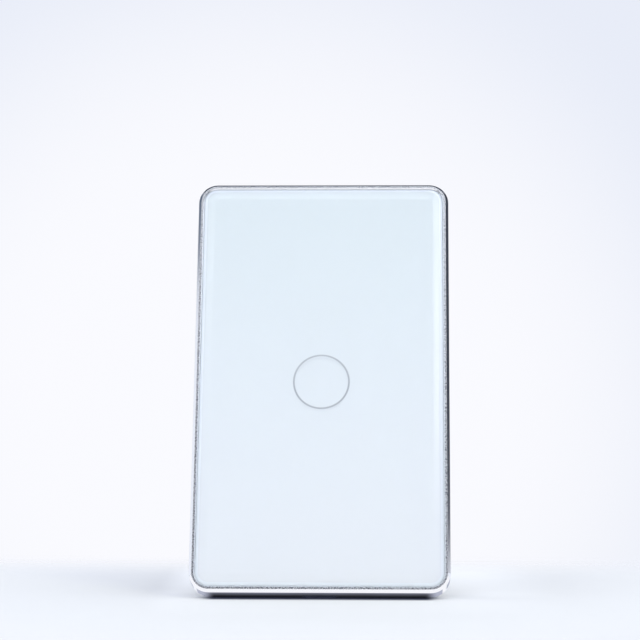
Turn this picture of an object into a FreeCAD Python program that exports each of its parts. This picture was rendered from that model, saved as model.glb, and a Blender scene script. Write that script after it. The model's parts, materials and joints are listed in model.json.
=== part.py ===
import FreeCAD, Part

import math
import os

from FreeCAD import Vector

os.makedirs("parts", exist_ok=True)

# A one-gang touch light switch with a glass front, in millimetres.
# X runs to the right and Z up, seen from the room, and Y runs into the wall.
# The origin is midway between the two wall screws, on the plane of the wall.

# Front plate: metal frame round the glass
plate_width = 72.0
plate_height = 120.0
plate_corner = 5.5
edge_inset = 0.78
edge_depth = 1.2
lip_width = 0.87
mouth_bevel = 0.3
ledge_width = 1.5
pry_width = 9.0
pry_depth = 1.4

# Glass, its printed back and the glue sheet
glass_thickness = 3.0
glass_proud = 0.4
glass_gap = 0.05
rim_width = 1.0
rim_drop = 0.45
bevel_width = 2.2
bevel_drop = 0.2
film_thickness = 0.15
film_inset = 0.2
ring_diameter = 15.3
ring_line = 0.55
adhesive_thickness = 0.35
adhesive_inset = 0.6

# Plastic carrier behind the glass, with its snap tongues
carrier_thickness = 1.2
carrier_gap = 0.05
tongue_width = 8.0
tongue_thickness = 1.2
tongue_inset = 3.6
tongue_short = 0.3
tongue_slot_gap = 0.15
side_tongue_spacing = 36.0
end_tongue_spacing = 34.0
stiffener_width = 1.0
stiffener_height = 0.6
stiffener_length = 12.0
stiffener_spacing = 6.0
stiffener_count = 4

# Light guide ring round the touch spot
guide_bore_radius = 5.6
guide_wall = 2.8
guide_flange = 1.0
guide_flange_thickness = 0.6
guide_gap = 0.05
guide_led_gap = 0.3

# Plastic base frame that the front snaps on
base_thickness = 1.0
base_gap = 0.15
base_rim_width = 1.5
base_rim_gap = 0.1
base_opening_gap = 0.5
base_opening_corner = 3.0
base_front_gap = 0.1
screw_access_radius = 5.0
stake_radius = 1.2
stake_head_radius = 1.8
stake_head_depth = 0.6
stake_gap = 0.05
stake_side_inset = 4.5
stake_end_inset = 2.6

# Steel yoke
yoke_thickness = 1.2
yoke_side_gap = 0.5
yoke_end_gap = 3.95
yoke_corner = 3.0
yoke_rail = 6.0
yoke_bridge = 6.5
yoke_opening_corner = 2.0
wall_screw_spacing = 83.3
wall_hole_radius = 2.2
relief_length = 7.0
relief_width = 2.0
relief_x = 9.0
relief_inset = 3.6

# Ground terminal on a tab of the yoke
tab_x = 13.0
tab_gap = 1.0
tab_width = 7.0
tab_reach = 8.5
tab_notch_gap = 0.4
ground_screw_radius = 2.08
ground_screw_y = 4.4
ground_pitch = 0.79375
ground_turns = 3.0
ground_closed_gap = 0.22
ground_head_radius = 3.6
ground_head_height = 2.2
ground_tail = 3.0
ground_plate_width = 7.2
ground_plate_thickness = 1.2

# Rear housing
housing_width = 45.0
housing_height = 67.0
housing_wall = 1.8
housing_corner = 3.0
housing_edge = 1.2
boss_radius = 2.6
boss_inset = 3.9
post_radius = 2.0
post_inset = 2.1
control_post_inset = 6.0
post_gap = 0.3
label_width = 26.0
label_height = 22.0
label_depth = 0.3
label_z = 7.0
vent_count = 5
vent_width = 1.2
vent_length = 9.0
vent_pitch = 3.2
vent_z = 8.0
vent_y = 17.0
vent_overcut = 0.3
fit_gap = 0.1

# Small screws: housing, control board and power board
thread_gap = 0.03
housing_screw_radius = 1.3
housing_screw_head = 2.3
housing_screw_length = 9.0
board_screw_radius = 1.0
board_screw_head = 1.8
board_screw_head_height = 0.9
board_screw_length = 5.0
recess_width = 0.55
recess_share = 0.7

# Circuit boards
control_board_recess = 2.8
control_board_thickness = 1.2
control_end_gap = 5.2
board_spacing = 4.0
power_board_thickness = 1.6
board_side_gap = 0.4
board_corner = 1.5
lead_gap = 0.1
lead_tail = 0.8
lead_radius = 0.3
relay_pin_radius = 0.6

# Touch spring
wire_radius = 0.25
spring_radius = 3.2
spring_turns = 3.5
spring_leg = 0.5
spring_bend = 0.9
spring_top_gap = 0.05
spiral_turns = 1.0
spiral_step = 1.25

# Parts on the control board
led_length = 2.0
led_width = 1.25
led_height = 0.8
led_count = 4
module_width = 24.0
module_height = 14.0
module_thickness = 0.8
module_edge_gap = 0.5
shield_width = 15.0
shield_height = 11.0
shield_depth = 2.0
shield_wall = 0.2
shield_shift = 3.6
crystal_length = 3.2
crystal_width = 2.5
crystal_height = 0.8
crystal_x = 9.0
touch_chip_width = 4.0
touch_chip_length = 6.5
touch_chip_height = 1.4
touch_chip_gap = 1.0
small_chip_count = 6
small_chip_pitch = 3.4
resistor_size = (1.6, 0.8, 0.5)
resistor_row_inset = 5.5
capacitor_size = (2.0, 1.25, 0.9)
capacitor_row_inset = 2.5

# Board-to-board connector
connector_x = 9.5
connector_inset = 3.0
connector_pins = 5
connector_pitch = 2.0
connector_width = 2.5
socket_depth = 2.3
header_depth = 1.5
pin_radius = 0.25

# Terminal blocks with rising cages, one for each wire
pole_names = ("line", "neutral", "load")
pole_pitch = 9.5
block_gap = 0.1
block_height = 12.7
bay_wall = 1.2
wire_hole_radius = 2.0
wire_wall = 1.9
cage_width = 6.8
cage_length = 6.0
cage_wall = 1.0
cage_nut = 1.8
cage_lift = 0.7
cage_gap = 0.1
wire_gap = 4.0
bar_width = 4.6
bar_thickness = 1.0
bar_rest_gap = 0.3
bar_tip_gap = 0.1
bar_leg_wall = 1.4
clamp_pitch = 0.6
clamp_turns = 4.5
clamp_stop_gap = 0.3
clamp_screw_radius = 1.75
clamp_thread_gap = 0.05
clamp_ledge = 1.0
clamp_head_radius = 3.0
clamp_head_height = 2.0
clamp_head_gap = 0.05
clamp_well_gap = 0.2
clamp_well_depth = 2.0

# Relay
relay_side_gap = 4.4
relay_width = 16.0
relay_length = 22.0
relay_height = 11.0
relay_wall = 0.6
relay_gap = 0.05
relay_base_thickness = 2.0
relay_steel = 1.2
relay_steel_width = 7.0
coil_x = -3.2
coil_height = 5.6
coil_radius = 3.0
coil_length = 12.6
flange_side = 6.2
flange_thickness = 0.8
core_radius = 1.5
core_gap = 0.05
bobbin_wall = 0.5
pole_radius = 2.4
pole_thickness = 0.8
frame_end = 9.6
frame_top_gap = 0.4
pole_air_gap = 0.75
hinge_air_gap = 0.2
armature_drop = 6.8
arm_thickness = 0.3
arm_width = 2.0
arm_reach = 6.1
contact_x = 4.6
contact_height = 4.6
contact_radius = 1.3
contact_thickness = 0.6
contact_air_gap = 0.7
contact_post_width = 3.0
contact_post_thickness = 0.6

# Transformer
side_gap = 0.4
core_width = 12.8
core_length = 12.8
core_thickness = 3.6
core_back = 2.0
core_side_leg = 2.0
core_middle_leg = 3.6
transformer_height = 5.7
spool_wall = 0.8
spool_gap = 0.05
spool_flange_x = 8.6
spool_flange_y = 9.0
spool_flange_thickness = 0.7
spool_length = 8.2
rail_width = 11.0
rail_height = 2.2
rail_length = 2.6
rail_pins = 3
rail_pitch = 4.0
winding_x = 8.0
winding_y = 8.4

# Other parts on the power board
bulk_radius = 4.0
bulk_length = 12.0
bulk_lead_bend = 1.6
bulk_lead_spread = 1.75
output_radius = 2.5
output_length = 7.0
output_boss_gap = 1.5
crimp_depth = 0.3
crimp_width = 0.8
crimp_from_base = 1.6
film_cap_width = 13.0
film_cap_thickness = 5.0
film_cap_height = 11.0
film_cap_relay_gap = 2.4
film_cap_edge = 0.6
varistor_radius = 4.5
varistor_thickness = 3.4
varistor_edge = 0.8
varistor_lift = 1.0
varistor_relay_gap = 1.9
fuse_radius = 1.5
fuse_length = 8.0
fuse_cap = 1.4
fuse_neck = 0.15
fuse_edge_gap = 2.3
fuse_lead_reach = 1.2
fuse_gap = 0.8
drum_radius = 3.6
drum_height = 7.0
drum_flange = 1.0
drum_neck = 1.6
drum_x = 11.9
drum_winding = 1.5
bridge_width = 3.2
bridge_length = 4.6
bridge_height = 2.2
bridge_relay_gap = 2.2
bridge_gap = 0.8
controller_x = -3.0
controller_width = 4.0
controller_length = 5.0
controller_height = 1.5
controller_edge_gap = 0.8
regulator_x = 6.5
regulator_width = 3.5
regulator_length = 6.0
regulator_height = 1.6
regulator_edge_gap = 0.3


def box(x0, x1, y0, y1, z0, z1):
    return Part.makeBox(x1 - x0, y1 - y0, z1 - z0, Vector(x0, y0, z0))


def block(width, height, y0, y1, x=0.0, z=0.0):
    return box(x - width / 2, x + width / 2, y0, y1, z - height / 2, z + height / 2)


def rod(radius, y0, y1, x=0.0, z=0.0):
    return Part.makeCylinder(radius, y1 - y0, Vector(x, y0, z), Vector(0, 1, 0))


def rod_x(radius, x0, x1, y, z):
    return Part.makeCylinder(radius, x1 - x0, Vector(x0, y, z), Vector(1, 0, 0))


def rod_z(radius, z0, z1, x, y):
    return Part.makeCylinder(radius, z1 - z0, Vector(x, y, z0), Vector(0, 0, 1))


def tube(outer, inner, y0, y1, x=0.0, z=0.0):
    return rod(outer, y0, y1, x, z).cut(rod(inner, y0 - 1, y1 + 1, x, z))


def join(shapes):
    shapes = list(shapes)
    return shapes[0].fuse(shapes[1:]).removeSplitter()


def carve(shape, cutters):
    return shape.cut(list(cutters)).removeSplitter()


# A rounded rectangle facing along Y. A corner never turns tighter than smallest_corner.
def outline(width, height, corner, y, x=0.0, z=0.0):
    smallest_corner = 0.3
    corner = max(min(corner, 0.45 * width, 0.45 * height), smallest_corner)
    turn = corner * (1.0 - math.sqrt(0.5))
    arcs = []
    for sx, sz in ((1, 1), (-1, 1), (-1, -1), (1, -1)):
        side = Vector(x + sx * width / 2, y, z + sz * (height / 2 - corner))
        middle = Vector(x + sx * (width / 2 - turn), y, z + sz * (height / 2 - turn))
        end = Vector(x + sx * (width / 2 - corner), y, z + sz * height / 2)
        points = (side, middle, end) if sx * sz > 0 else (end, middle, side)
        arcs.append(points)
    edges = []
    for here, after in zip(arcs, arcs[1:] + arcs[:1]):
        edges.append(Part.Arc(*here).toShape())
        edges.append(Part.LineSegment(here[2], after[0]).toShape())
    return Part.Wire(edges)


def rounded_block(width, height, corner, y0, y1, x=0.0, z=0.0):
    face = Part.Face(outline(width, height, corner, y0, x, z))
    return face.extrude(Vector(0, y1 - y0, 0))


# A rounded block whose outline draws in by inset from y0 to y1.
def drawn_in_block(width, height, corner, inset, y0, y1):
    wide = outline(width, height, corner, y0)
    narrow = outline(width - 2 * inset, height - 2 * inset, corner - inset, y1)
    return Part.makeLoft([wide, narrow], True, True)


# A disc along Y whose edge at y0 is rounded.
def rounded_disc(radius, y0, y1, rounding, x=0.0, z=0.0):
    disc = rod(radius, y0, y1, x, z)
    rim = [e for e in disc.Edges if e.Length > radius and abs(e.CenterOfMass.y - y0) < 1e-6]
    return disc.makeFillet(rounding, rim[:1])


# A pan-head screw: its head stands on seat, and way 1 points the shank along +Y.
def screw(x, z, seat, way, head_radius, head_height, shank_radius, length, cross=True):
    head = rounded_disc(head_radius, -head_height, 0.0, head_height * 0.45)
    shank = rod(shank_radius, -0.5 * head_height, length)
    point = Part.makeCone(shank_radius, shank_radius * 0.5, shank_radius * 0.6,
                          Vector(0, length, 0), Vector(0, 1, 0))
    body = join([head, shank, point])
    deep = -head_height * (1.0 - recess_share)
    span = head_radius * 1.25 if cross else head_radius * 2.2
    width = recess_width if cross else 2 * recess_width
    cutters = [block(span, width, -head_height - 1, deep)]
    if cross:
        cutters.append(block(width, span, -head_height - 1, deep))
    body = carve(body, cutters)
    if way < 0:
        body.rotate(Vector(0, 0, 0), Vector(0, 0, 1), 180)
    body.translate(Vector(x, seat, z))
    return body


# Places along Y, from the wall out to the glass
yoke_front = -yoke_thickness
base_front = yoke_front - base_thickness
carrier_back = base_front - base_front_gap
carrier_front = carrier_back - carrier_thickness
adhesive_front = carrier_front - adhesive_thickness
film_front = adhesive_front - film_thickness
glass_front = film_front - glass_thickness
lip_front = glass_front + glass_proud
bevel_edge = glass_front + bevel_drop
glass_edge = bevel_edge + rim_drop

# Places along Y, from the wall into the box
control_front = control_board_recess
control_back = control_front + control_board_thickness
power_front = control_back + board_spacing
power_back = power_front + power_board_thickness
cage_front = power_back + cage_lift
bar_front = cage_front + cage_wall + wire_gap
bar_back = bar_front + bar_thickness
cage_nut_front = bar_back + bar_rest_gap
cage_back = cage_nut_front + cage_nut
clamp_travel = clamp_pitch * clamp_turns
ledge_front = cage_back + clamp_travel + clamp_stop_gap
ledge_back = ledge_front + clamp_ledge
clamp_seat = ledge_back + clamp_head_gap
housing_back = clamp_seat + clamp_head_height + clamp_well_depth
floor_front = housing_back - housing_wall

# Sizes that follow from those above
ground_travel = ground_pitch * ground_turns
frame_wall = edge_inset + lip_width
pocket_width = plate_width - 2 * frame_wall
pocket_height = plate_height - 2 * frame_wall
pocket_corner = plate_corner - frame_wall
glass_width = pocket_width - 2 * glass_gap
glass_height = pocket_height - 2 * glass_gap
glass_corner = pocket_corner - glass_gap
ledge_opening_width = pocket_width - 2 * ledge_width
ledge_opening_height = pocket_height - 2 * ledge_width
ledge_opening_corner = pocket_corner - ledge_width
base_width = pocket_width - 2 * base_gap
base_height = pocket_height - 2 * base_gap
base_corner = pocket_corner - base_gap
base_opening_width = housing_width + 2 * base_opening_gap
base_opening_height = housing_height + 2 * base_opening_gap
yoke_width = housing_width - 2 * yoke_side_gap
yoke_height = base_height - 2 * (base_rim_width + yoke_end_gap)
yoke_opening_width = yoke_width - 2 * yoke_rail
yoke_opening_height = housing_height - 2 * yoke_bridge
stake_x = yoke_width / 2 - stake_side_inset
stake_z = yoke_height / 2 - stake_end_inset
tab_z = housing_height / 2 + tab_gap + tab_width / 2
guide_radius = guide_bore_radius + guide_wall
led_ring_radius = guide_bore_radius + guide_wall / 2
inner_width = housing_width - 2 * housing_wall
inner_height = housing_height - 2 * housing_wall
board_width = inner_width - 2 * board_side_gap
power_board_height = inner_height - 2 * board_side_gap
control_board_height = inner_height - 2 * control_end_gap
post_x = board_width / 2 - post_inset
control_post_z = control_board_height / 2 - control_post_inset
connector_z = control_board_height / 2 - connector_inset
module_z = control_board_height / 2 - module_edge_gap - module_height / 2
resistor_row_z = -control_board_height / 2 + resistor_row_inset
capacitor_row_z = -control_board_height / 2 + capacitor_row_inset
touch_chip_z = -(guide_radius + guide_flange + touch_chip_gap + touch_chip_length / 2)
boss_x = housing_width / 2 - boss_inset
boss_z = housing_height / 2 - boss_inset
block_width = pole_pitch - block_gap
bay_half = 1.5 * pole_pitch + fit_gap
bay_top = -housing_height / 2 + block_height + fit_gap
block_bottom = -housing_height / 2
block_top = block_bottom + block_height
cage_bottom = block_bottom + wire_wall + cage_gap
cage_top = cage_bottom + cage_length
cage_z = (cage_bottom + cage_top) / 2
poles = {name: (place - 1) * pole_pitch for place, name in enumerate(pole_names)}

# Places on the power board, from the terminal bay's roof up: relay and capacitors in the left
# column, the other parts in the right one, with even gaps in each column.
power_low = bay_top + bay_wall
power_high = power_board_height / 2
left_gap = (power_high - power_low - relay_length - 4 * bulk_radius - 2 * output_radius) / 5
relay_x = -board_width / 2 + relay_side_gap + relay_width / 2
relay_z = power_low + left_gap + relay_length / 2
relay_right = relay_x + relay_width / 2
relay_top = relay_z + relay_length / 2
power_post_z = relay_top + post_gap + post_radius
first_row = relay_top + left_gap + bulk_radius
bulk_rows = (first_row, first_row + 2 * bulk_radius + left_gap)
bulk_x = -(post_x - post_radius) + side_gap
output_x = -(boss_x - boss_radius) + output_boss_gap + output_radius
output_z = power_high - left_gap - output_radius
transformer_x = post_x - post_radius - side_gap - core_width / 2
transformer_half = spool_length / 2 + rail_length
transformer_top = connector_z - side_gap - 2 * lead_radius
right_sizes = film_cap_thickness + varistor_thickness + 2 * drum_radius + 2 * transformer_half
right_gap = (transformer_top - power_low - right_sizes) / 4
film_cap_x = relay_right + film_cap_relay_gap + film_cap_width / 2
film_cap_z = power_low + right_gap + film_cap_thickness / 2
varistor_x = relay_right + varistor_relay_gap + varistor_radius
varistor_z = film_cap_z + film_cap_thickness / 2 + right_gap + varistor_thickness / 2
drum_z = varistor_z + varistor_thickness / 2 + right_gap + drum_radius
transformer_z = drum_z + drum_radius + right_gap + transformer_half
bridge_x = relay_right + bridge_relay_gap + bridge_width / 2
bridge_z = varistor_z + varistor_thickness / 2 + bridge_gap + bridge_length / 2
fuse_x = board_width / 2 - fuse_edge_gap
fuse_z = film_cap_z + film_cap_thickness / 2 + fuse_gap + fuse_lead_reach + fuse_length / 2
controller_z = power_high - controller_edge_gap - controller_length / 2
regulator_z = power_high - regulator_edge_gap - regulator_length / 2


def tongue_spots():
    side_x = base_width / 2 - tongue_inset
    end_z = base_height / 2 - tongue_inset
    spots = []
    for sign in (-1, 1):
        for step in (-1, 0, 1):
            spots.append((sign * side_x, step * side_tongue_spacing, tongue_thickness, tongue_width))
        for step in (-0.5, 0.5):
            spots.append((step * end_tongue_spacing, sign * end_z, tongue_width, tongue_thickness))
    return spots


def corner_spots(x, z):
    return [(x, z), (-x, z), (-x, -z), (x, -z)]


def glass_panel():
    plain = rounded_block(glass_width, glass_height, glass_corner, glass_edge, film_front)
    rim = drawn_in_block(glass_width, glass_height, glass_corner, rim_width, glass_edge, bevel_edge)
    bevel = drawn_in_block(glass_width - 2 * rim_width, glass_height - 2 * rim_width,
                           glass_corner - rim_width, bevel_width, bevel_edge, glass_front)
    return join([plain, rim, bevel])


# The print is a sheet and a round spot, and the gap between them is the line of light.
def print_film():
    width = glass_width - 2 * film_inset
    height = glass_height - 2 * film_inset
    sheet = rounded_block(width, height, glass_corner - film_inset, film_front, adhesive_front)
    ring_outer = (ring_diameter + ring_line) / 2
    ring_inner = (ring_diameter - ring_line) / 2
    sheet = sheet.cut(rod(ring_outer, film_front - 1, adhesive_front + 1))
    spot = rod(ring_inner, film_front, adhesive_front)
    return [sheet, spot]


def panel_adhesive():
    width = glass_width - 2 * adhesive_inset
    height = glass_height - 2 * adhesive_inset
    corner = glass_corner - adhesive_inset
    return rounded_block(width, height, corner, adhesive_front, carrier_front)


def trim_frame():
    edge = lip_front + edge_depth
    side = rounded_block(plate_width, plate_height, plate_corner, edge, 0.0)
    front = drawn_in_block(plate_width, plate_height, plate_corner, edge_inset, edge, lip_front)
    body = join([side, front])
    pocket = rounded_block(pocket_width, pocket_height, pocket_corner, lip_front - 1, carrier_front)
    mouth = drawn_in_block(pocket_width + 2 * mouth_bevel, pocket_height + 2 * mouth_bevel,
                           pocket_corner + mouth_bevel, mouth_bevel, lip_front, lip_front + mouth_bevel)
    opening = rounded_block(ledge_opening_width, ledge_opening_height, ledge_opening_corner,
                            lip_front - 1, 1.0)
    back = rounded_block(pocket_width, pocket_height, pocket_corner, carrier_back, 1.0)
    notch = box(-pry_width / 2, pry_width / 2, -pry_depth, 1.0,
                -plate_height / 2 - 1, -pocket_height / 2 + frame_wall)
    return carve(body, [pocket, mouth, opening, back, notch])


def front_carrier():
    width = ledge_opening_width - 2 * carrier_gap
    height = ledge_opening_height - 2 * carrier_gap
    corner = ledge_opening_corner - carrier_gap
    body = [rounded_block(width, height, corner, carrier_front, carrier_back)]
    for x, z, wide, high in tongue_spots():
        body.append(block(wide, high, carrier_front, -tongue_short, x, z))
    first = -stiffener_spacing * (stiffener_count - 1) / 2
    for index in range(stiffener_count):
        x = first + index * stiffener_spacing
        z = -(guide_radius + guide_flange + stiffener_length / 2 + stiffener_width)
        body.append(block(stiffener_width, stiffener_length, carrier_front,
                          carrier_back + stiffener_height, x, z))
    seat = rod(guide_radius + guide_flange + guide_gap, carrier_front - 1,
               carrier_front + guide_flange_thickness)
    bore = rod(guide_radius + guide_gap, carrier_front - 1, carrier_back + 1)
    return carve(join(body), [seat, bore])


def light_guide_ring():
    end = control_front - led_height - guide_led_gap
    flange = rod(guide_radius + guide_flange, carrier_front, carrier_front + guide_flange_thickness)
    wall = rod(guide_radius, carrier_front, end)
    return carve(join([flange, wall]), [rod(guide_bore_radius, carrier_front - 1, end + 1)])


def base_frame():
    plate = rounded_block(base_width, base_height, base_corner, base_front, yoke_front)
    rim = rounded_block(base_width, base_height, base_corner, yoke_front, -base_rim_gap)
    rim_hole = rounded_block(base_width - 2 * base_rim_width, base_height - 2 * base_rim_width,
                             base_corner - base_rim_width, yoke_front - 1, 1.0)
    body = [plate, rim.cut(rim_hole)]
    for x, z in corner_spots(stake_x, stake_z):
        body.append(rod(stake_radius, base_front, 0.0, x, z))
        body.append(Part.makeCone(stake_radius, stake_head_radius, stake_head_depth,
                                  Vector(x, -stake_head_depth, z), Vector(0, 1, 0)))
    opening = rounded_block(base_opening_width, base_opening_height, base_opening_corner,
                            base_front - 1, 1.0)
    cutters = [opening]
    for sign in (-1, 1):
        cutters.append(rod(screw_access_radius, base_front - 1, yoke_front + 0.5,
                           0.0, sign * wall_screw_spacing / 2))
    for x, z, wide, high in tongue_spots():
        cutters.append(block(wide + 2 * tongue_slot_gap, high + 2 * tongue_slot_gap,
                             base_front - 1, 1.0, x, z))
    return carve(join(body), cutters)


def mounting_yoke():
    strap = rounded_block(yoke_width, yoke_height, yoke_corner, yoke_front, 0.0)
    notch_start = tab_x + yoke_thickness
    notch = box(notch_start, yoke_width, yoke_front - 1, 1.0,
                tab_z - tab_width / 2 - tab_notch_gap, tab_z + tab_width / 2 + tab_notch_gap)
    tab = box(tab_x, tab_x + yoke_thickness, yoke_front, tab_reach,
              tab_z - tab_width / 2, tab_z + tab_width / 2)
    body = join([strap.cut(notch), tab])
    opening = rounded_block(yoke_opening_width, yoke_opening_height, yoke_opening_corner,
                            yoke_front - 1, 1.0)
    cutters = [opening]
    for sign in (-1, 1):
        cutters.append(rod(wall_hole_radius, yoke_front - 1, 1.0, 0.0, sign * wall_screw_spacing / 2))
        for side in (-1, 1):
            cutters.append(rounded_block(relief_length, relief_width, relief_width / 2,
                                         yoke_front - 1, 1.0, side * relief_x,
                                         sign * (yoke_height / 2 - relief_inset)))
    for x, z in corner_spots(boss_x, boss_z):
        cutters.append(rod(housing_screw_radius + fit_gap, yoke_front - 1, 1.0, x, z))
    for x, z in corner_spots(stake_x, stake_z):
        cutters.append(rod(stake_radius + stake_gap, yoke_front - 1, 1.0, x, z))
        cutters.append(Part.makeCone(stake_radius + stake_gap, stake_head_radius + stake_gap,
                                     stake_head_depth, Vector(x, -stake_head_depth, z),
                                     Vector(0, 1, 0)))
    thread = rod_x(ground_screw_radius + thread_gap, tab_x - 1, tab_x + yoke_thickness + 1,
                   ground_screw_y, tab_z)
    cutters.append(thread)
    return carve(body, cutters)


def housing_screws():
    return [screw(x, z, yoke_front, 1, housing_screw_head, base_thickness,
                  housing_screw_radius, housing_screw_length)
            for x, z in corner_spots(boss_x, boss_z)]


def ground_places():
    tab_face = tab_x + yoke_thickness
    plate_face = tab_face + ground_travel + ground_closed_gap
    head_face = plate_face + ground_plate_thickness + clamp_head_gap
    return tab_face, plate_face, head_face


def ground_screw():
    _, _, head_face = ground_places()
    length = head_face - (tab_x - ground_tail)
    body = screw(0.0, 0.0, 0.0, 1, ground_head_radius, ground_head_height,
                 ground_screw_radius, length, cross=False)
    body.rotate(Vector(0, 0, 0), Vector(0, 0, 1), 90)
    body.translate(Vector(head_face, ground_screw_y, tab_z))
    return body


def ground_clamp():
    _, plate_face, _ = ground_places()
    half = ground_plate_width / 2
    plate = box(plate_face, plate_face + ground_plate_thickness, ground_screw_y - half,
                ground_screw_y + half, tab_z - half, tab_z + half)
    hole = rod_x(ground_screw_radius + fit_gap, plate_face - 1, plate_face + 3,
                 ground_screw_y, tab_z)
    return carve(plate, [hole])


def rear_housing():
    edge = housing_back - housing_edge
    side = rounded_block(housing_width, housing_height, housing_corner, 0.0, edge)
    back = drawn_in_block(housing_width, housing_height, housing_corner, housing_edge,
                          edge, housing_back)
    hollow = rounded_block(inner_width, inner_height, housing_corner - housing_wall,
                           -1.0, floor_front)
    shell = join([side, back]).cut(hollow)
    inside = [shell]
    for x, z in corner_spots(boss_x, boss_z):
        inside.append(rod(boss_radius, 0.0, floor_front + 0.5, x, z))
    for x, z in corner_spots(post_x, control_post_z):
        inside.append(rod(post_radius, control_back, floor_front + 0.5, x, z))
    for sign in (-1, 1):
        inside.append(rod(post_radius, power_back, floor_front + 0.5, sign * post_x, power_post_z))
    wall_front = power_back + fit_gap
    inside.append(box(-bay_half - bay_wall, bay_half + bay_wall, wall_front, floor_front + 0.5,
                      -inner_height / 2 - 0.5, bay_top + bay_wall))
    body = join(inside)
    cutters = [box(-bay_half, bay_half, power_back, housing_back + 1,
                   -housing_height, bay_top)]
    for x, z in corner_spots(boss_x, boss_z):
        cutters.append(rod(housing_screw_radius + thread_gap, -1.0, housing_screw_length + 1, x, z))
    deep = board_screw_length + 1
    for x, z in corner_spots(post_x, control_post_z):
        cutters.append(rod(board_screw_radius + thread_gap, control_back - 1, control_front + deep, x, z))
    for sign in (-1, 1):
        cutters.append(rod(board_screw_radius + thread_gap, power_back - 1, power_front + deep,
                           sign * post_x, power_post_z))
    cutters.append(rounded_block(label_width, label_height, 1.5, housing_back - label_depth,
                                 housing_back + 1, 0.0, label_z))
    first = vent_z - vent_pitch * (vent_count - 1) / 2
    for index in range(vent_count):
        z = first + index * vent_pitch
        for sign in (-1, 1):
            inner = sign * (housing_width / 2 - housing_wall - vent_overcut)
            outer = sign * (housing_width / 2 + 1)
            cutters.append(box(min(inner, outer), max(inner, outer), vent_y - vent_length / 2,
                               vent_y + vent_length / 2, z - vent_width / 2, z + vent_width / 2))
    return carve(body, cutters)


def control_board():
    board = rounded_block(board_width, control_board_height, board_corner, control_front, control_back)
    cutters = [rod(board_screw_radius + fit_gap, control_front - 1, control_back + 1, x, z)
               for x, z in corner_spots(post_x, control_post_z)]
    return carve(board, cutters)


def control_board_screws():
    return [screw(x, z, control_front, 1, board_screw_head, board_screw_head_height,
                  board_screw_radius, board_screw_length)
            for x, z in corner_spots(post_x, control_post_z)]


# The middle of the spring's wire, so many turns up from its foot.
def spring_point(turn):
    foot = control_front - spring_leg - spring_bend
    top = carrier_front + wire_radius + spring_top_gap
    rise = (foot - top) * min(turn / spring_turns, 1.0)
    radius = spring_radius - spiral_step * max(turn - spring_turns, 0.0) / spiral_turns
    angle = 2 * math.pi * turn
    return Vector(radius * math.cos(angle), foot - rise, radius * math.sin(angle))


def spring_heading(turn):
    step = 0.01
    return (spring_point(turn + step) - spring_point(turn - step)).normalize()


# An arc from a to b that is tangent to the lines through their common apex.
def tangent_arc(a, apex, b):
    middle = (a + b) * 0.5
    half_chord = (b - a).Length / 2
    half_turn = math.acos(half_chord / (apex - a).Length)
    rise = (apex - middle).normalize() * (half_chord * math.tan(half_turn / 2))
    return Part.Arc(a, middle + rise, b).toShape()


# Two tangent arcs from one point and heading to the next.
def two_arcs(start, start_way, end, end_way):
    gap = end - start
    both = start_way + end_way
    a = both.dot(both) - 4.0
    b = -2.0 * gap.dot(both)
    c = gap.dot(gap)
    if abs(a) < 1e-9:
        reach = -c / b
    else:
        reach = (-b - math.sqrt(b * b - 4 * a * c)) / (2 * a)
    near = start + start_way * reach
    far = end - end_way * reach
    meet = (near + far) * 0.5
    return [tangent_arc(start, near, meet), tangent_arc(meet, far, end)]


def touch_spring():
    start = Vector(spring_radius, control_front, 0)
    bend_start = Vector(spring_radius, control_front - spring_leg, 0)
    edges = [Part.LineSegment(start, bend_start).toShape()]
    quarter = 0.25
    here = bend_start
    heading = Vector(0, -1, 0)
    last = spring_turns + spiral_turns
    turn = quarter
    while turn < last + quarter / 2:
        after = spring_point(turn)
        after_heading = spring_heading(turn)
        edges += two_arcs(here, heading, after, after_heading)
        here = after
        heading = after_heading
        turn += quarter
    path = Part.Wire(edges)
    ring = Part.Wire([Part.makeCircle(wire_radius, start, Vector(0, 1, 0))])
    return path.makePipeShell([ring], True, False)


# The least gap between one turn of the spring and the next.
def spring_gap():
    steps = 24
    count = int((spring_turns + spiral_turns) * steps)
    points = [spring_point(index / steps) for index in range(count + 1)]
    least = min((p - q).Length for i, p in enumerate(points) for q in points[i + steps // 2:])
    return least - 2 * wire_radius


def indicator_leds():
    shapes = []
    for index in range(led_count):
        angle = math.radians(45 + 360 * index / led_count)
        x = led_ring_radius * math.cos(angle)
        z = led_ring_radius * math.sin(angle)
        shapes.append(block(led_length, led_width, control_front - led_height, control_front, x, z))
    return shapes


# A moulded chip with bent legs on two sides, standing on a board face and rising along way.
def chip(x, z, face, way, width, length, height, legs, pitch, leg_width):
    lift = 0.1
    leg_thickness = 0.2
    leg_reach = 0.9
    knee = 0.45 * height
    body = [block(width, length, lift, height)]
    for side in (-1, 1):
        for index in range(legs):
            spot = (index - (legs - 1) / 2) * pitch
            near = side * width / 2
            knee_x = near + side * leg_reach / 2
            foot_x = near + side * leg_reach
            top = box(min(near, knee_x), max(near, knee_x), knee, knee + leg_thickness,
                      spot - leg_width / 2, spot + leg_width / 2)
            drop_x = knee_x - side * leg_thickness
            drop = box(min(knee_x, drop_x), max(knee_x, drop_x), 0.0, knee + leg_thickness,
                       spot - leg_width / 2, spot + leg_width / 2)
            foot = box(min(drop_x, foot_x), max(drop_x, foot_x), 0.0, leg_thickness,
                       spot - leg_width / 2, spot + leg_width / 2)
            body += [top, drop, foot]
    shape = join(body)
    dot = rod(0.35, height - 0.1, height + 1, -width / 2 + 0.9, length / 2 - 0.9)
    shape = carve(shape, [dot])
    if way < 0:
        shape = shape.mirror(Vector(0, 0, 0), Vector(0, 1, 0))
    shape.translate(Vector(x, face, z))
    return shape


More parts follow.
